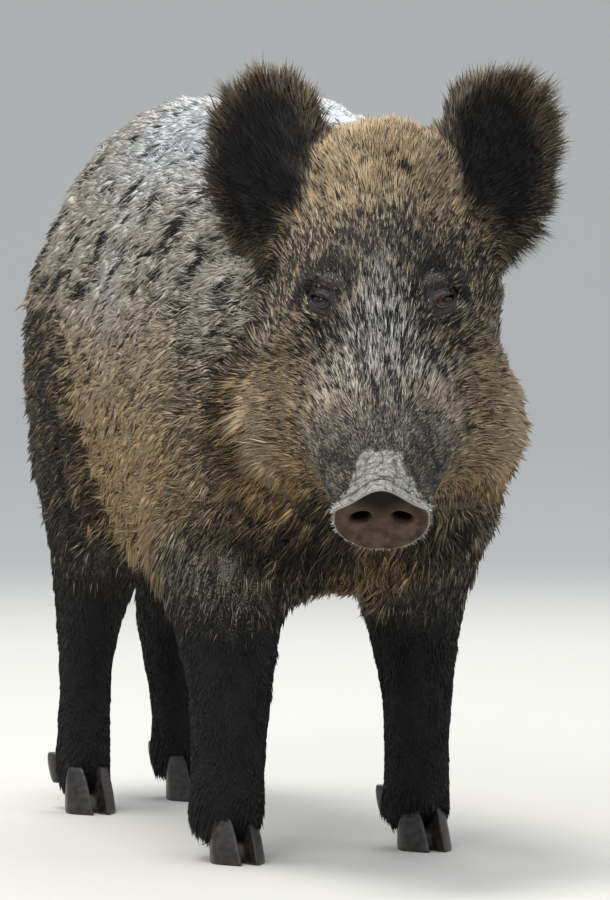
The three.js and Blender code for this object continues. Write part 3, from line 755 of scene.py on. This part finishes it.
# the fused flesh evened, drawn in by the coat's depth, and given its creases, lids and folds
def makeSkin():
    mesh = fusedFlesh()
    points, edges = pointsOf(mesh), edgesOf(mesh)
    fromEars = np.min([np.linalg.norm(points - plane[0], axis=1) for plane in earPlanes.values()], axis=0)
    soft = ease(0.1, 0.15, fromEars)[:, None]
    smooth = evened(points, edges, skinSizes["rounds"])
    gentle = evened(points, edges, skinSizes["earRounds"])
    mesh.vertices.foreach_set("co", (gentle * (1 - soft) + smooth * soft).astype(np.float32).ravel())
    mesh.update()
    snoutTop = headMiddle + headAhead * 0.19 + headFace * 0.01
    finer(mesh, [snoutTop, middle("snout_disc")], [0.075, 0.052, 0.044])
    finer(mesh, list(eyes.values()), [0.036, 0.03, 0.017])
    points, edges, normals = pointsOf(mesh), edgesOf(mesh), normalsOf(mesh)
    shares = zoneShares(points, edges)
    coat = coatAt(points, shares)
    inEar = shares[:, 4]
    depth = coat["length"] * coat["lift"] * skinSizes["flatter"]
    depth = evened(depth[:, None], edges, skinSizes["depthRounds"])[:, 0] * (1 - inEar)
    far, outward, _ = overEar(points)
    rim = inEar * ease(0.62, 1.0, far) * skinSizes["earRim"]
    points = points - normals * (depth + skinSizes["earFace"] * inEar)[:, None] - outward * rim[:, None]
    # the crease between flank and haunch
    z = points[:, 2]
    crease = bell(behindCrease(points), 0, 0.02) * ease(0.27, 0.33, z) * ease(0.6, 0.46, z)
    crease = crease * ease(0.05, 0.09, np.abs(points[:, 0])) * (shares[:, 0] + shares[:, 5])
    points = points - normals * (skinSizes["crease"] * crease)[:, None]
    points = footed(shapeLids(flared(points, normals)))
    groove = grooves(points)
    folds = 0.0012 * (1 - groove) + 0.0002 * ripple(points, 0.006, 6)
    aside = inHead(points)[0]
    points = points + headFace * (folds * coat["snout"])[:, None]
    mesh.vertices.foreach_set("co", points.astype(np.float32).ravel())
    mesh.update()
    mesh.polygons.foreach_set("use_smooth", np.full(len(mesh.polygons), True))
    skin = bpy.data.objects.new("skin", mesh)
    bpy.context.scene.collection.objects.link(skin)
    for name in ("light", "pale", "warm", "dark", "bare", "lids"):
        setAttribute(skin, name, coat[name])
    # the lids' edges: black over the eye; under it a thin pale blue line, a painted reflection on the wet
    # lower lid
    _, slant, h, far, opening = (
        np.where(aside > 0, left, right) for left, right in zip(overEye(points, 1), overEye(points, -1))
    )
    margin = (far < 0.03) * (h > 0) * ease(1.5, 1.2, opening)
    setAttribute(skin, "margin", margin * (0.6 + 0.4 * ease(-0.002, 0.001, slant)))
    setAttribute(skin, "wet", margin * ease(-0.001, -0.004, slant) * ease(1.16, 1.06, opening))
    setAttribute(skin, "groove", groove * coat["snout"])
    lie = lieAt(points, normalsOf(mesh), shares)
    layer = mesh.attributes.new("lie", "FLOAT_VECTOR", "POINT")
    layer.data.foreach_set("vector", lie.astype(np.float32).ravel())
    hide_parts(*zoneOf)
    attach(skin, "root")
    return skin, shares


# the unwrap of the skin's own shape that the coat's patches lie on
def unwrap(piece):
    piece.data.uv_layers.new(name="OFBake")
    bpy.context.view_layer.objects.active = piece
    piece.select_set(True)
    bpy.ops.object.mode_set(mode="EDIT")
    bpy.ops.mesh.select_all(action="SELECT")
    bpy.ops.uv.smart_project(angle_limit=math.radians(66), island_margin=0.001)
    bpy.ops.object.mode_set(mode="OBJECT")
    piece.select_set(False)


skin, skinShares = makeSkin()
print("skin", len(skin.data.polygons), "faces")
unwrap(skin)
print("unwrapped")


tints = {
    name: linear(colour)
    for name, colour in {
        "root": "#2b2723",
        "blackRoot": "#17171a",
        "tip": "#b8ab92",
        "warmTip": "#bd9e70",
        "paleTip": "#dcdee0",
        # hide and blackHide are the roots' tints made darker: painted shade under the coat
        "hide": "#211d1a",
        "blackHide": "#0e0e10",
        "lidDark": "#231e1f",
        "lidPale": "#4e4547",
        "lidEdge": "#0f0c0c",
        "paintedLidGlint": "#5a646e",
        "dryDark": "#8b8983",
        "dryPale": "#b9b6ac",
        "crack": "#6a6762",
        "groove": "#55524e",
    }.items()
}


# the tip's colour where hair is light-tipped, from the pale and warm attributes
def tipColour(material):
    pale, warm = (addNode(material, "Attribute", {}, "Fac", attribute_name=key) for key in ("pale", "warm"))
    colour = addNode(material, "Mix", {0: warm, 6: tints["tip"], 7: tints["warmTip"]}, **asColour)
    return addNode(material, "Mix", {0: pale, 6: colour, 7: tints["paleTip"]}, **asColour)


# bristles: dark at the root, and on the light-tipped ones tan to grey over the outer half; matt
def bristleMaterial():
    hair = newMaterial("bristle")
    keys = ("along", "tone", "light", "dark")
    along, tone, light, dark = (addNode(hair, "Attribute", {}, "Fac", attribute_name=key) for key in keys)
    root = addNode(hair, "Mix", {0: dark, 6: tints["root"], 7: tints["blackRoot"]}, **asColour)
    reach = addNode(hair, "MapRange", {0: along, 1: 0.02, 2: 0.4})
    tipped = addNode(hair, "Math", {0: reach, 1: light}, operation="MULTIPLY")
    colour = addNode(hair, "Mix", {0: tipped, 6: root, 7: tipColour(hair)}, **asColour)
    shade = addNode(hair, "MapRange", {0: tone, 3: 0.7, 4: 1.3})
    grey = addNode(hair, "CombineColor", {0: shade, 1: shade, 2: shade})
    colour = addNode(hair, "Mix", {0: 1.0, 6: colour, 7: grey}, blend_type="MULTIPLY", **asColour)
    setShader(hair, {"Base Color": colour, "Roughness": 0.55, "Specular IOR Level": 0.4})
    return hair


# bare snout skin: dry and grey, finely wrinkled into cells a few millimetres wide, dark in the cracks
def foldedSkin(material, place, grain):
    warp = addNode(material, "TexNoise", {"Vector": place, "Scale": 160.0}, "Color")  # bends of 6 mm
    bent = addNode(material, "Mix", {0: 0.006, 6: place, 7: warp}, blend_type="ADD", **asColour)
    cells = {"Vector": bent, "Scale": 190.0}  # cells of 5 mm
    cells = addNode(material, "TexVoronoi", cells, "Distance", feature="DISTANCE_TO_EDGE")
    crack = addNode(material, "MapRange", {0: cells, 2: 0.09})
    dry = addNode(material, "MapRange", {0: grain, 1: 0.35, 2: 0.65})
    nude = addNode(material, "Mix", {0: dry, 6: tints["dryDark"], 7: tints["dryPale"]}, **asColour)
    nude = addNode(material, "Mix", {0: crack, 6: tints["crack"], 7: nude}, **asColour)
    groove = addNode(material, "Attribute", {}, "Fac", attribute_name="groove")
    return addNode(material, "Mix", {0: groove, 6: nude, 7: tints["groove"]}, **asColour)


# skin seen between the locks: the same tints, darker as painted shade under the coat, with short hair as
# streaks of bump
def hideMaterial():
    hide = newMaterial("haired hide")
    keys = ("light", "dark", "bare", "lids", "margin", "wet")
    light, dark, bare, lids, margin, wet = (
        addNode(hide, "Attribute", {}, "Fac", attribute_name=key) for key in keys
    )
    place = addNode(hide, "TexCoord", {}, "Object")
    grain = {"Vector": place, "Scale": 420.0, "Detail": 4.0, "Roughness": 0.6}  # 2.4 mm
    grain = addNode(hide, "TexNoise", grain, "Fac")
    # the streaks: noise in places drawn together along the lie, p - 0.9 (p . lie) lie
    lie = addNode(hide, "Attribute", {}, "Vector", attribute_name="lie")
    local = addNode(hide, "VectorMath", {0: place, 1: tuple(headMiddle)}, operation="SUBTRACT")
    run = addNode(hide, "VectorMath", {0: local, 1: lie}, "Value", operation="DOT_PRODUCT")
    short = addNode(hide, "Math", {0: run, 1: -0.9}, operation="MULTIPLY")
    back = addNode(hide, "VectorMath", {0: lie, "Scale": short}, operation="SCALE")
    drawn = addNode(hide, "VectorMath", {0: local, 1: back}, operation="ADD")
    streak = {"Vector": drawn, "Scale": 800.0, "Detail": 2.0, "Roughness": 0.6}  # 1.2 mm wide
    streak = addNode(hide, "TexNoise", streak, "Fac")
    # the base is darker than the roots: painted shade under the coat
    base = addNode(hide, "Mix", {0: dark, 6: tints["hide"], 7: tints["blackHide"]}, **asColour)
    level = addNode(hide, "MapRange", {0: light, 3: -0.14, 4: 0.14})
    raised = addNode(hide, "Math", {0: streak, 1: level}, operation="ADD")
    tipped = addNode(hide, "MapRange", {0: raised, 1: 0.47, 2: 0.58, 4: 0.85})
    some = addNode(hide, "MapRange", {0: light, 2: 0.15})
    half = addNode(hide, "Math", {0: tipped, 1: some}, operation="MULTIPLY")
    colour = addNode(hide, "Mix", {0: half, 6: base, 7: tipColour(hide)}, **asColour)
    soft = addNode(hide, "MapRange", {0: grain, 1: 0.3, 2: 0.7})
    eyelid = addNode(hide, "Mix", {0: soft, 6: tints["lidDark"], 7: tints["lidPale"]}, **asColour)
    nude = addNode(hide, "Mix", {0: lids, 6: foldedSkin(hide, place, grain), 7: eyelid}, **asColour)
    # margin blackens the lids' edges; wet lays a pale blue line under the eye, a painted reflection on the
    # wet lower lid
    for factor, over in ((bare, nude), (margin, tints["lidEdge"]), (wet, tints["paintedLidGlint"])):
        colour = addNode(hide, "Mix", {0: factor, 6: colour, 7: over}, **asColour)
    height = addNode(hide, "Mix", {0: bare, 6: streak, 7: grain}, **asColour)
    bump = addNode(hide, "Bump", {"Height": height, "Distance": 0.0012, "Strength": 0.6})
    setShader(hide, {"Base Color": colour, "Normal": bump, "Roughness": 0.75, "Specular IOR Level": 0.3})
    return hide


bristle = bristleMaterial()
skin.data.materials.append(hideMaterial())


# points spread over the skin's triangles, as many on each as its weight says
def rootsOn(triangles, weight, count):
    ends = np.cumsum(weight)
    chosen = np.searchsorted(ends, np.sort(random.random(count)) * ends[-1])
    u, v = random.random((2, count))
    flip = u + v > 1
    u, v = np.where(flip, 1 - u, u), np.where(flip, 1 - v, v)
    return np.minimum(chosen, len(triangles) - 1), np.stack([1 - u - v, u, v], 1)


lock = {
    "bend": 0.42,  # how far along the first part ends
    "rise": 1.35,  # the first part's lift and the rest's, as shares of the coat's own
    "fall": 0.62,
    "sag": 0.06,
    "sunk": 0.0015,  # how deep the root sits in the skin
    "patch": (0.003, 0.0016),  # its place on the unwrap, along and across
}


# a lock: a root, two sides a part of the way along, and a tip. The first part stands off the skin at
# its lift, the rest lies flatter and sags a little, so its four faces close round a thin wedge
def makeLocks(name, root, out, lie, coat, uv):
    count = len(root)
    side = unit(np.cross(lie, out) + 1e-6)
    length, width, lift, roll = (coat[key][:, None] for key in ("length", "width", "lift", "roll"))
    first = unit(lie * np.sqrt(1 - lift**2) + out * lift * lock["rise"])
    rest = unit(lie + out * lift * lock["fall"] - np.array([0, 0, lock["sag"]]))
    belly = root + first * length * lock["bend"] + out * width * 0.35
    tip = belly + rest * length * (1 - lock["bend"])
    half = 0.5 * width * (side * np.cos(roll) + out * np.sin(roll))
    points = np.stack([root - out * lock["sunk"], belly + half, belly - half, tip], 1).reshape(-1, 3)
    pattern = np.array([[0, 1, 2], [3, 2, 1], [0, 2, 3], [0, 3, 1]])
    faces = (np.arange(count)[:, None, None] * 4 + pattern).reshape(-1, 3)
    piece = newPiece(name, points, faces)
    spread = np.array([[-0.5, 0], [0, 0.5], [0, -0.5], [0.5, 0]]) * lock["patch"]
    patch = (uv[:, None, :] + spread).reshape(-1, 2)
    layer = piece.data.uv_layers.new(name="OFBake")
    layer.data.foreach_set("uv", patch[faces.ravel()].astype(np.float32).ravel())
    setAttribute(piece, "along", np.tile([0, lock["bend"], lock["bend"], 1.0], count))
    for key in ("tone", "light", "pale", "warm", "dark"):
        setAttribute(piece, key, np.repeat(coat[key], 4))
    piece.data.materials.append(bristle)
    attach(piece, "root")


coatPieces = [
    {"name": "coat_trunk", "zones": [0], "locks": 122000, "parts": 3},
    {"name": "coat_neck", "zones": [1], "locks": 44000, "parts": 1},
    {"name": "coat_head", "zones": [2, 3], "locks": 120000, "parts": 3},
    {"name": "coat_ears", "zones": [4], "locks": 36000, "parts": 1},
    {"name": "coat_legs", "zones": [5, 6, 7], "locks": 48000, "parts": 1},
]

coatForm = {
    "clump": 0.026,  # grains in metres: of length, of dark bands on the back, of dark flecks, of swirls
    "band": 0.04,
    "fleck": 0.005,
    "swirls": (0.045, 0.013),
    "drawn": 0.8,  # how much longer than wide flecks are along the lie
    "finerFace": 0.45,
    "strayLie": 0.11,
    "strayLength": 0.16,
    "strayLift": 0.22,
    "rimLength": 0.02,  # how much longer hair is at an ear's rim
    "longest": 0.07,
    "tailThicker": 2,
}


# which way the hair points at its roots: the lie, swirled, and out past the rim of an ear
def strayed(root, out, lie, zone):
    body, ear = zone[:, 0] + zone[:, 1], zone[:, 4]
    broad, small = (ripple(root, grain, seed) for grain, seed in zip(coatForm["swirls"], (23, 24)))
    swirl = ((0.06 + 0.24 * body) * broad + (0.06 + 0.3 * body) * small) * (1 - ear)
    swirl = swirl + random.normal(0, coatForm["strayLie"], len(root))
    lie = unit(lie + np.cross(out, lie) * swirl[:, None])
    far, outward, _ = overEar(root)
    fringe = ear * ease(0.55, 0.95, far)
    lie = unit(lie * (1 - 0.75 * fringe)[:, None] + outward * (0.75 * fringe)[:, None])
    return unit(lie + 0.22 * fringe[:, None] * random.normal(size=(len(root), 3))), fringe


# how light each lock's tip is: drawn at random about the coat's own share of light hair, in flecks
# along the lie and in bands across the back, sharper where it is mixed, softer on muzzle and haunch
def tipLight(root, lie, zone, light, clump):
    aside, down, out = inHead(root)
    body, head = zone[:, 0] + zone[:, 1], zone[:, 2]
    onMuzzle = ease(0.1, 0.14, down) * head
    local = (root - headMiddle) * (1 + coatForm["finerFace"] * (head + zone[:, 3]))[:, None]
    drawn = local - coatForm["drawn"] * lie * (local * lie).sum(1)[:, None]
    forehead = bell(down, -0.06, 0.035) * head
    onCheek = ease(0.06, 0.1, np.abs(aside)) * head
    flecks = ripple(drawn, coatForm["fleck"], 37) * (1 + 0.35 * forehead + 0.6 * onCheek + 0.15 * head)
    bands = ripple(root, coatForm["band"], 31, (1, 1.7, 0.8)) * ease(0.5, 0.64, root[:, 2])
    unevenness = 0.08 * clump + 0.26 * flecks * (1 - 0.7 * onMuzzle) + 0.4 * bands * body
    mixedness = 2 * np.sqrt(light * (1 - light))
    haunch = overHaunch(behindCrease(root), root[:, 2])
    chest = ease(0.5, 0.4, root[:, 2]) * ease(-0.08, -0.2, root[:, 1])
    even = body * np.maximum(haunch, chest) + ease(-0.1, -0.15, out) * head + zone[:, 3]
    share = light * 1.26 - 0.33 - 0.6 * random.random(len(root)) + unevenness * mixedness - 0.05 * even
    soft = 0.15 + 0.2 * onMuzzle + 0.3 * even
    dulled = 0.34 * bell(down, -0.055, 0.045) * head + 0.55 * (zone[:, 5] + zone[:, 6])
    return ease(-soft, soft, share) * (1 - dulled)


def makeCoat():
    mesh = skin.data
    mesh.calc_loop_triangles()
    triangles = rowsOf(mesh.loop_triangles, "vertices", 3, np.int32)
    loops = rowsOf(mesh.loop_triangles, "loops", 3, np.int32)
    flat = rowsOf(mesh.uv_layers["OFBake"].data, "uv", 2, np.float32)
    points, normals = pointsOf(mesh), normalsOf(mesh)
    a, b, c = (points[triangles[:, k]] for k in range(3))
    area = np.linalg.norm(np.cross(b - a, c - a), axis=1) / 2
    shares = skinShares[triangles].mean(1)
    coat = coatAt((a + b + c) / 3, shares)
    weight = area / (coat["length"] * coat["width"])
    weight = weight * (1 - coat["bare"]) * (1 + coatForm["tailThicker"] * shares[:, 7])
    main = np.argmax(shares, axis=1)
    for group in coatPieces:
        chosen, blend = rootsOn(triangles, weight * np.isin(main, group["zones"]), group["locks"])
        corners, blend = triangles[chosen], blend[:, :, None]
        root, zone = (points[corners] * blend).sum(1), (skinShares[corners] * blend).sum(1)
        out, uv = unit((normals[corners] * blend).sum(1)), (flat[loops[chosen]] * blend).sum(1)
        look = coatAt(root, zone)
        straight = lieAt(root, out, zone)
        size, ear = len(root), zone[:, 4]
        clump = ripple(root, coatForm["clump"], 11)
        lie, fringe = strayed(root, out, straight, zone)
        look["length"] = look["length"] * (1 + 0.16 * clump + random.normal(0, coatForm["strayLength"], size))
        look["length"] = look["length"] + coatForm["rimLength"] * fringe * random.random(size)
        look["length"] = np.clip(look["length"], 0.003, coatForm["longest"])
        spread = random.normal(0, coatForm["strayLift"], size)
        look["lift"] = np.clip(look["lift"] * (1 + 0.25 * clump + spread), 0.04, 0.8)
        look["width"] = look["width"] * random.uniform(0.6, 1.25, size)
        look["tone"] = random.random(size)
        look["roll"] = random.uniform(-0.7, 0.7, size)
        tipped = tipLight(root, straight, zone, look["light"], clump)
        look["light"] = tipped * (1 - ear) + ear * (0.02 + 0.5 * fringe) * look["tone"]
        order = np.argsort(root[:, 1] if group["zones"] == [0] else inHead(root)[1])
        for part, rows in enumerate(np.array_split(order, group["parts"])):
            name = group["name"] + (f"_{part + 1}" if group["parts"] > 1 else "")
            picked = {key: value[rows] for key, value in look.items()}
            makeLocks(name, root[rows], out[rows], lie[rows], picked, uv[rows])
            print(name, len(rows), "locks")


makeCoat()


# the skin's place on its unwrap nearest to each root
def skinUv(root):
    loopPoint = rowsOf(skin.data.loops, "vertex_index", 1, np.int32)[:, 0]
    points = pointsOf(skin.data)
    uvOf = np.zeros((len(points), 2))
    uvOf[loopPoint] = rowsOf(skin.data.uv_layers["OFBake"].data, "uv", 2, np.float32)
    near = np.flatnonzero(np.linalg.norm(points - root.mean(0), axis=1) < 0.08)
    return uvOf[near[((root[:, None] - points[near][None]) ** 2).sum(2).argmin(1)]]


# the look of hair that is the same all over, but for its length and tone
def evenLook(hair, **measures):
    measures["width"] = hair["width"]
    look = {key: np.full(hair["count"], value, dtype=float) for key, value in measures.items()}
    look["length"] = random.uniform(hair["shortest"], hair["longest"], hair["count"])
    look["tone"] = random.random(hair["count"])
    return look


# a ball turned about the gaze: radius times (sin turn, cos turn), bulged a little over the iris
def makeEyes():
    wet = newMaterial("wet eyeball")  # dark brown iris round a black pupil, under water's gloss
    gaze, shaded = (addNode(wet, "Attribute", {}, "Fac", attribute_name=key) for key in ("gaze", "shaded"))
    streak = addNode(wet, "TexNoise", {"Scale": 900.0, "Detail": 3.0}, "Fac")  # finer than shows
    fibre = addNode(wet, "MapRange", {0: streak, 1: 0.35, 2: 0.7})
    iris = addNode(wet, "Mix", {0: fibre, 6: linear("#2c150a"), 7: linear("#5e2f14")}, **asColour)
    inIris = addNode(wet, "MapRange", {0: gaze, 1: 0.8, 2: 0.82})
    inPupil = addNode(wet, "MapRange", {0: gaze, 1: 0.935, 2: 0.945})
    colour = linear("#1b1412")
    # shaded darkens the ball's upper half to near black: painted shade from the upper lid and lashes
    for factor, over in ((inIris, iris), (inPupil, linear("#060505")), (shaded, linear("#090706"))):
        colour = addNode(wet, "Mix", {0: factor, 6: colour, 7: over}, **asColour)
    setShader(wet, {"Base Color": colour, "Roughness": 0.08, "Specular IOR Level": 0.25})
    setShader(wet, {"Coat Weight": 0.4, "Coat Roughness": 0.02})
    turn = np.linspace(0, math.pi, 49)[:, None]
    around = np.linspace(0, 2 * math.pi, 65)[None, :-1]
    radius = eyeSizes["ball"] * (1 + 0.04 * np.exp(-((turn / 0.35) ** 2)))
    for side, centre in eyes.items():
        _, up, out = eyeFrame(side)
        out = unit(out + np.array([-0.1, -0.25, 0]))  # it looks ahead and a little to the right
        across = unit(np.cross(up, out))
        up = np.cross(out, across)
        grid = (
            centre
            + (radius * np.cos(turn) + 0 * around)[:, :, None] * out
            + (radius * np.sin(turn) * np.cos(around))[:, :, None] * across
            + (radius * np.sin(turn) * np.sin(around))[:, :, None] * up
        )
        name = "left" if side > 0 else "right"
        ball = ringPiece(f"eyeball_{name}", grid)
        setAttribute(ball, "gaze", np.cos(turn) + 0 * around)
        # painted shade over the upper half, as cast by the lid and lashes
        setAttribute(ball, "shaded", ease(-0.3, 0.2, np.sin(turn) * np.sin(around)))
        closeUp(ball)
        ball.data.materials.append(wet)
        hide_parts(f"eye_{name}")
        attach(ball, "root")


lashes = {"count": 130, "shortest": 0.003, "longest": 0.006, "width": 0.0006}


# black lashes along each upper lid, out and down over the ball
def makeLashes():
    size = lashes["count"]
    u = random.uniform(-1, 1, size)
    for side, centre in eyes.items():
        across, up, out = eyeFrame(side)
        aside = u * eyeSizes["openWide"] * 0.95
        rise = 0.8 * eyeSizes["openHigh"] * np.sqrt(1 - 0.85 * u**2) + eyeSizes["slant"] * aside * side
        rise = rise + random.uniform(-0.0002, 0.0014, size)
        depth = np.sqrt((eyeSizes["ball"] + eyeSizes["lid"]) ** 2 - aside**2 - rise**2)
        root = centre + aside[:, None] * across + rise[:, None] * up + depth[:, None] * out
        lie = unit(out - up * random.uniform(0.0, 0.4, (size, 1)) + across * (0.7 * side + 0.3 * u[:, None]))
        look = evenLook(lashes, lift=0.1, roll=0, light=0, pale=0, warm=0, dark=1)
        name = "lashes_left" if side > 0 else "lashes_right"
        makeLocks(name, root, np.tile(up, (size, 1)), lie, look, skinUv(root))


makeEyes()
makeLashes()
print("eyes ready")


# front runs from 0 at the middle to 1 on the outline, then over runs back along the sides. The face
# is a shallow dish, its upper edge leans out as a lip, and each nostril is a well: depth times
# 1 - ease of its own oval
def makeDisc():
    centre, across, up, out = padPlane
    s = np.linspace(0, 1 + disc["back"], 160)[:, None]
    turn = np.linspace(0, 2 * math.pi, 301)[None, :-1]
    front = np.minimum(s, 1)
    over = np.clip((s - 1) / disc["back"], 0, 1)
    edgeX, edgeZ = padOutline(turn)
    x, z = edgeX * front, edgeZ * front
    upper = np.maximum(np.sin(turn), 0)
    lip = disc["lip"] * ease(0.0, 0.9, upper) * bell(edgeX, 0, 0.034) * ease(0.86, 0.985, front)
    dish = lip - disc["hollow"] * bell(front, 0, 0.75) + disc["relief"] * bell(front, 0.965, 0.03)
    depth = dish - disc["relief"] * bell(x, 0, 0.004) * ease(0.9, 0.3, front) * (z < 0)
    for side in (-1, 1):
        aside, rise = x - side * disc["nostril"], z - 0.0015
        well = np.hypot(aside / disc["nostrilWide"], (rise + 0.16 * side * aside) / disc["nostrilHigh"])
        depth = depth - disc["nostrilDeep"] * ease(1.12, 0.55, well) + 0.0008 * bell(well, 1.4, 0.28)
    # inside: darker with depth down each nostril, painted shade in the well
    inside = ease(-0.001, -0.011, depth - dish)
    depth = depth - disc["thick"] * over**1.4
    swell = 1 + 0.02 * np.sin(over * math.pi) ** 0.8 * (1 - over) - 0.06 * ease(0.4, 1.0, over)
    x, z = x * swell, z * swell - disc["below"]
    grid = centre + x[:, :, None] * across + z[:, :, None] * up + (depth + 0.003)[:, :, None] * out
    piece = ringPiece("snout_pad", grid)
    ring = 0 * turn  # spreads a value round its ring
    setAttribute(piece, "groove", grooves(grid.reshape(-1, 3)) * (ease(0.0, 0.2, over) + ring).ravel())
    setAttribute(piece, "inside", inside)
    setAttribute(piece, "rim", bell(front, 1.0, 0.016) * (over < 0.1) + ring)
    # shaded: darker towards the upper edge, painted shadow under the overhanging lip
    setAttribute(piece, "shaded", ease(0.0, 0.024, z + disc["below"] - 0.5 * np.abs(x) + 0.006))
    setAttribute(piece, "back", ease(0.0, 0.25, over) + ring)
    closeUp(piece)
    pad = newMaterial("damp snout skin")  # fine-pored, brown-grey, paler and drier on its rim
    place = addNode(pad, "TexCoord", {}, "Object")
    pores = addNode(pad, "TexVoronoi", {"Vector": place, "Scale": 480.0}, "Distance")  # 2 mm apart
    blotch = addNode(pad, "TexNoise", {"Vector": place, "Scale": 90.0, "Detail": 5.0}, "Fac")  # 11 mm
    grain = addNode(pad, "TexNoise", {"Vector": place, "Scale": 420.0, "Detail": 4.0}, "Fac")
    keys = ("shaded", "rim", "back", "inside")
    shaded, rim, back, paintedNostrilShade = (addNode(pad, "Attribute", {}, "Fac", attribute_name=key) for key in keys)
    blotched = addNode(pad, "MapRange", {0: blotch, 1: 0.35, 2: 0.65})
    brown = addNode(pad, "MapRange", {0: shaded, 2: 0.5})
    black = addNode(pad, "MapRange", {0: shaded, 1: 0.5})
    # the face goes brown and then near black towards its top, painted shadow under the lip, and near black
    # inside the nostrils, painted shade
    colour = linear("#34281f")
    for factor, over in (
        (blotched, linear("#56463b")),
        (brown, linear("#3a2a1a")),
        (black, linear("#070504")),
        (rim, linear("#a2948b")),
        (back, foldedSkin(pad, place, grain)),
        (paintedNostrilShade, linear("#0b0807")),
    ):
        colour = addNode(pad, "Mix", {0: factor, 6: colour, 7: over}, **asColour)
    bump = addNode(pad, "Bump", {"Height": pores, "Distance": 0.0006, "Strength": 0.5})
    setShader(pad, {"Base Color": colour, "Normal": bump, "Roughness": 0.45, "Specular IOR Level": 0.15})
    piece.data.materials.append(pad)
    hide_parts("snout_disc")
    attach(piece, "root")


rimBristles = {"count": 340, "shortest": 0.0025, "longest": 0.0055, "width": 0.0005}


# short white bristles that stand out along the pad's edge
def makeRimBristles():
    centre, across, up, out = padPlane
    size = rimBristles["count"]
    turn = random.uniform(-1.15 * math.pi, 0.15 * math.pi, size)
    x, z = padOutline(turn)
    over = random.uniform(0.0, 0.6, size)
    root = centre + x[:, None] * across + (z - disc["below"])[:, None] * up
    root = root + (0.002 - disc["thick"] * over**1.4)[:, None] * out
    away = unit(x[:, None] * across + z[:, None] * up)
    lie = unit(away + out * random.uniform(-0.5, 0.7, (size, 1)) + random.normal(0, 0.2, (size, 3)))
    look = evenLook(rimBristles, lift=0.2, roll=0, light=1, pale=0.8, warm=0.2, dark=0)
    makeLocks("snout_bristles", root, away, lie, look, skinUv(root))


makeDisc()
makeRimBristles()
print("snout ready")


claw = {
    "levels": [0, 0, 0, 0.015, 0.05, 0.12, 0.25, 0.4, 0.6, 0.8, 0.96, 1.0, 1.0],
    # how wide it is at each level: a claw, and the cone of a dewclaw
    "main": [0, 0.6, 0.92, 0.98, 1.0, 1.0, 0.98, 0.95, 0.88, 0.78, 0.62, 0.5, 0],
    "dew": [0, 0.26, 0.36, 0.42, 0.5, 0.6, 0.72, 0.84, 0.95, 1.0, 0.96, 0.85, 0],
    "pointed": 0.62,  # how much of the width the toe loses
    "inwards": 0.42,  # how far the toe lies towards its neighbour
    "flat": 0.86,  # where the side of the neighbour is flat
    "lean": 0.36,  # how far back the front wall leans by its top
}


# worn dark horn, faintly ringed and dusty in patches
def hornMaterial():
    horn = newMaterial("horn keratin")
    place = addNode(horn, "TexCoord", {}, "Object")
    rings = {"Vector": place, "Scale": 45.0, "Distortion": 4.0}  # a few millimetres apart
    rings = addNode(horn, "TexWave", rings, "Fac", bands_direction="Z")
    dust = addNode(horn, "TexNoise", {"Vector": place, "Scale": 120.0, "Detail": 4.0}, "Fac")  # 8 mm
    dusty = addNode(horn, "MapRange", {0: dust, 1: 0.4, 2: 0.75})
    colour = addNode(horn, "Mix", {0: dusty, 6: linear("#1c1918"), 7: linear("#3d3731")}, **asColour)
    bump = addNode(horn, "Bump", {"Height": rings, "Distance": 0.0004, "Strength": 0.35})
    setShader(horn, {"Base Color": colour, "Normal": bump, "Roughness": 0.42})
    return horn


# a claw fills its packed box. Each level is an oval drawn to a point at the toe, flat on the side of
# its neighbour; the front wall leans back and the heel is steep; the sole is flat, its edge rounded
def makeClaws():
    horn = hornMaterial()
    levels, main, dew = (np.array(claw[key])[:, None] for key in ("levels", "main", "dew"))
    turn = np.linspace(0, 2 * math.pi, 49)[None, :-1]
    toe = np.maximum(0, -np.cos(turn)) ** 1.5
    for name in [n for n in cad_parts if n.startswith("claw_")]:
        low, high = (np.array(v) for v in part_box(name))
        size = high - low
        lean = claw["lean"] * levels
        if name.endswith("_dew"):
            scale, lean = dew, 0 * levels
            width = 0.9 * np.sin(turn) * scale
        else:
            partner = name.replace("inner", "outer") if "inner" in name else name.replace("outer", "inner")
            towards = np.sign(middle(partner)[0] - middle(name)[0])
            aside = np.sin(turn) * towards  # 1 at the neighbour's side
            scale = main
            width = aside * (1 - claw["pointed"] * toe) + claw["inwards"] * toe
            width = np.minimum(width, claw["flat"]) * towards * scale
        stop = 0.94 + 0.06 * levels
        ahead = (lean + stop) / 2 + (stop - lean) / 2 * np.cos(turn) * scale
        x = low[0] + size[0] * (0.5 + 0.5 * width)
        y = low[1] + size[1] * ahead
        z = low[2] + size[2] * levels + 0 * turn
        piece = ringPiece("horn" + name[4:], np.stack([x, y, z], -1))
        closeUp(piece)
        piece.data.materials.append(horn)
        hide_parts(name)
        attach(piece, "root")


makeClaws()
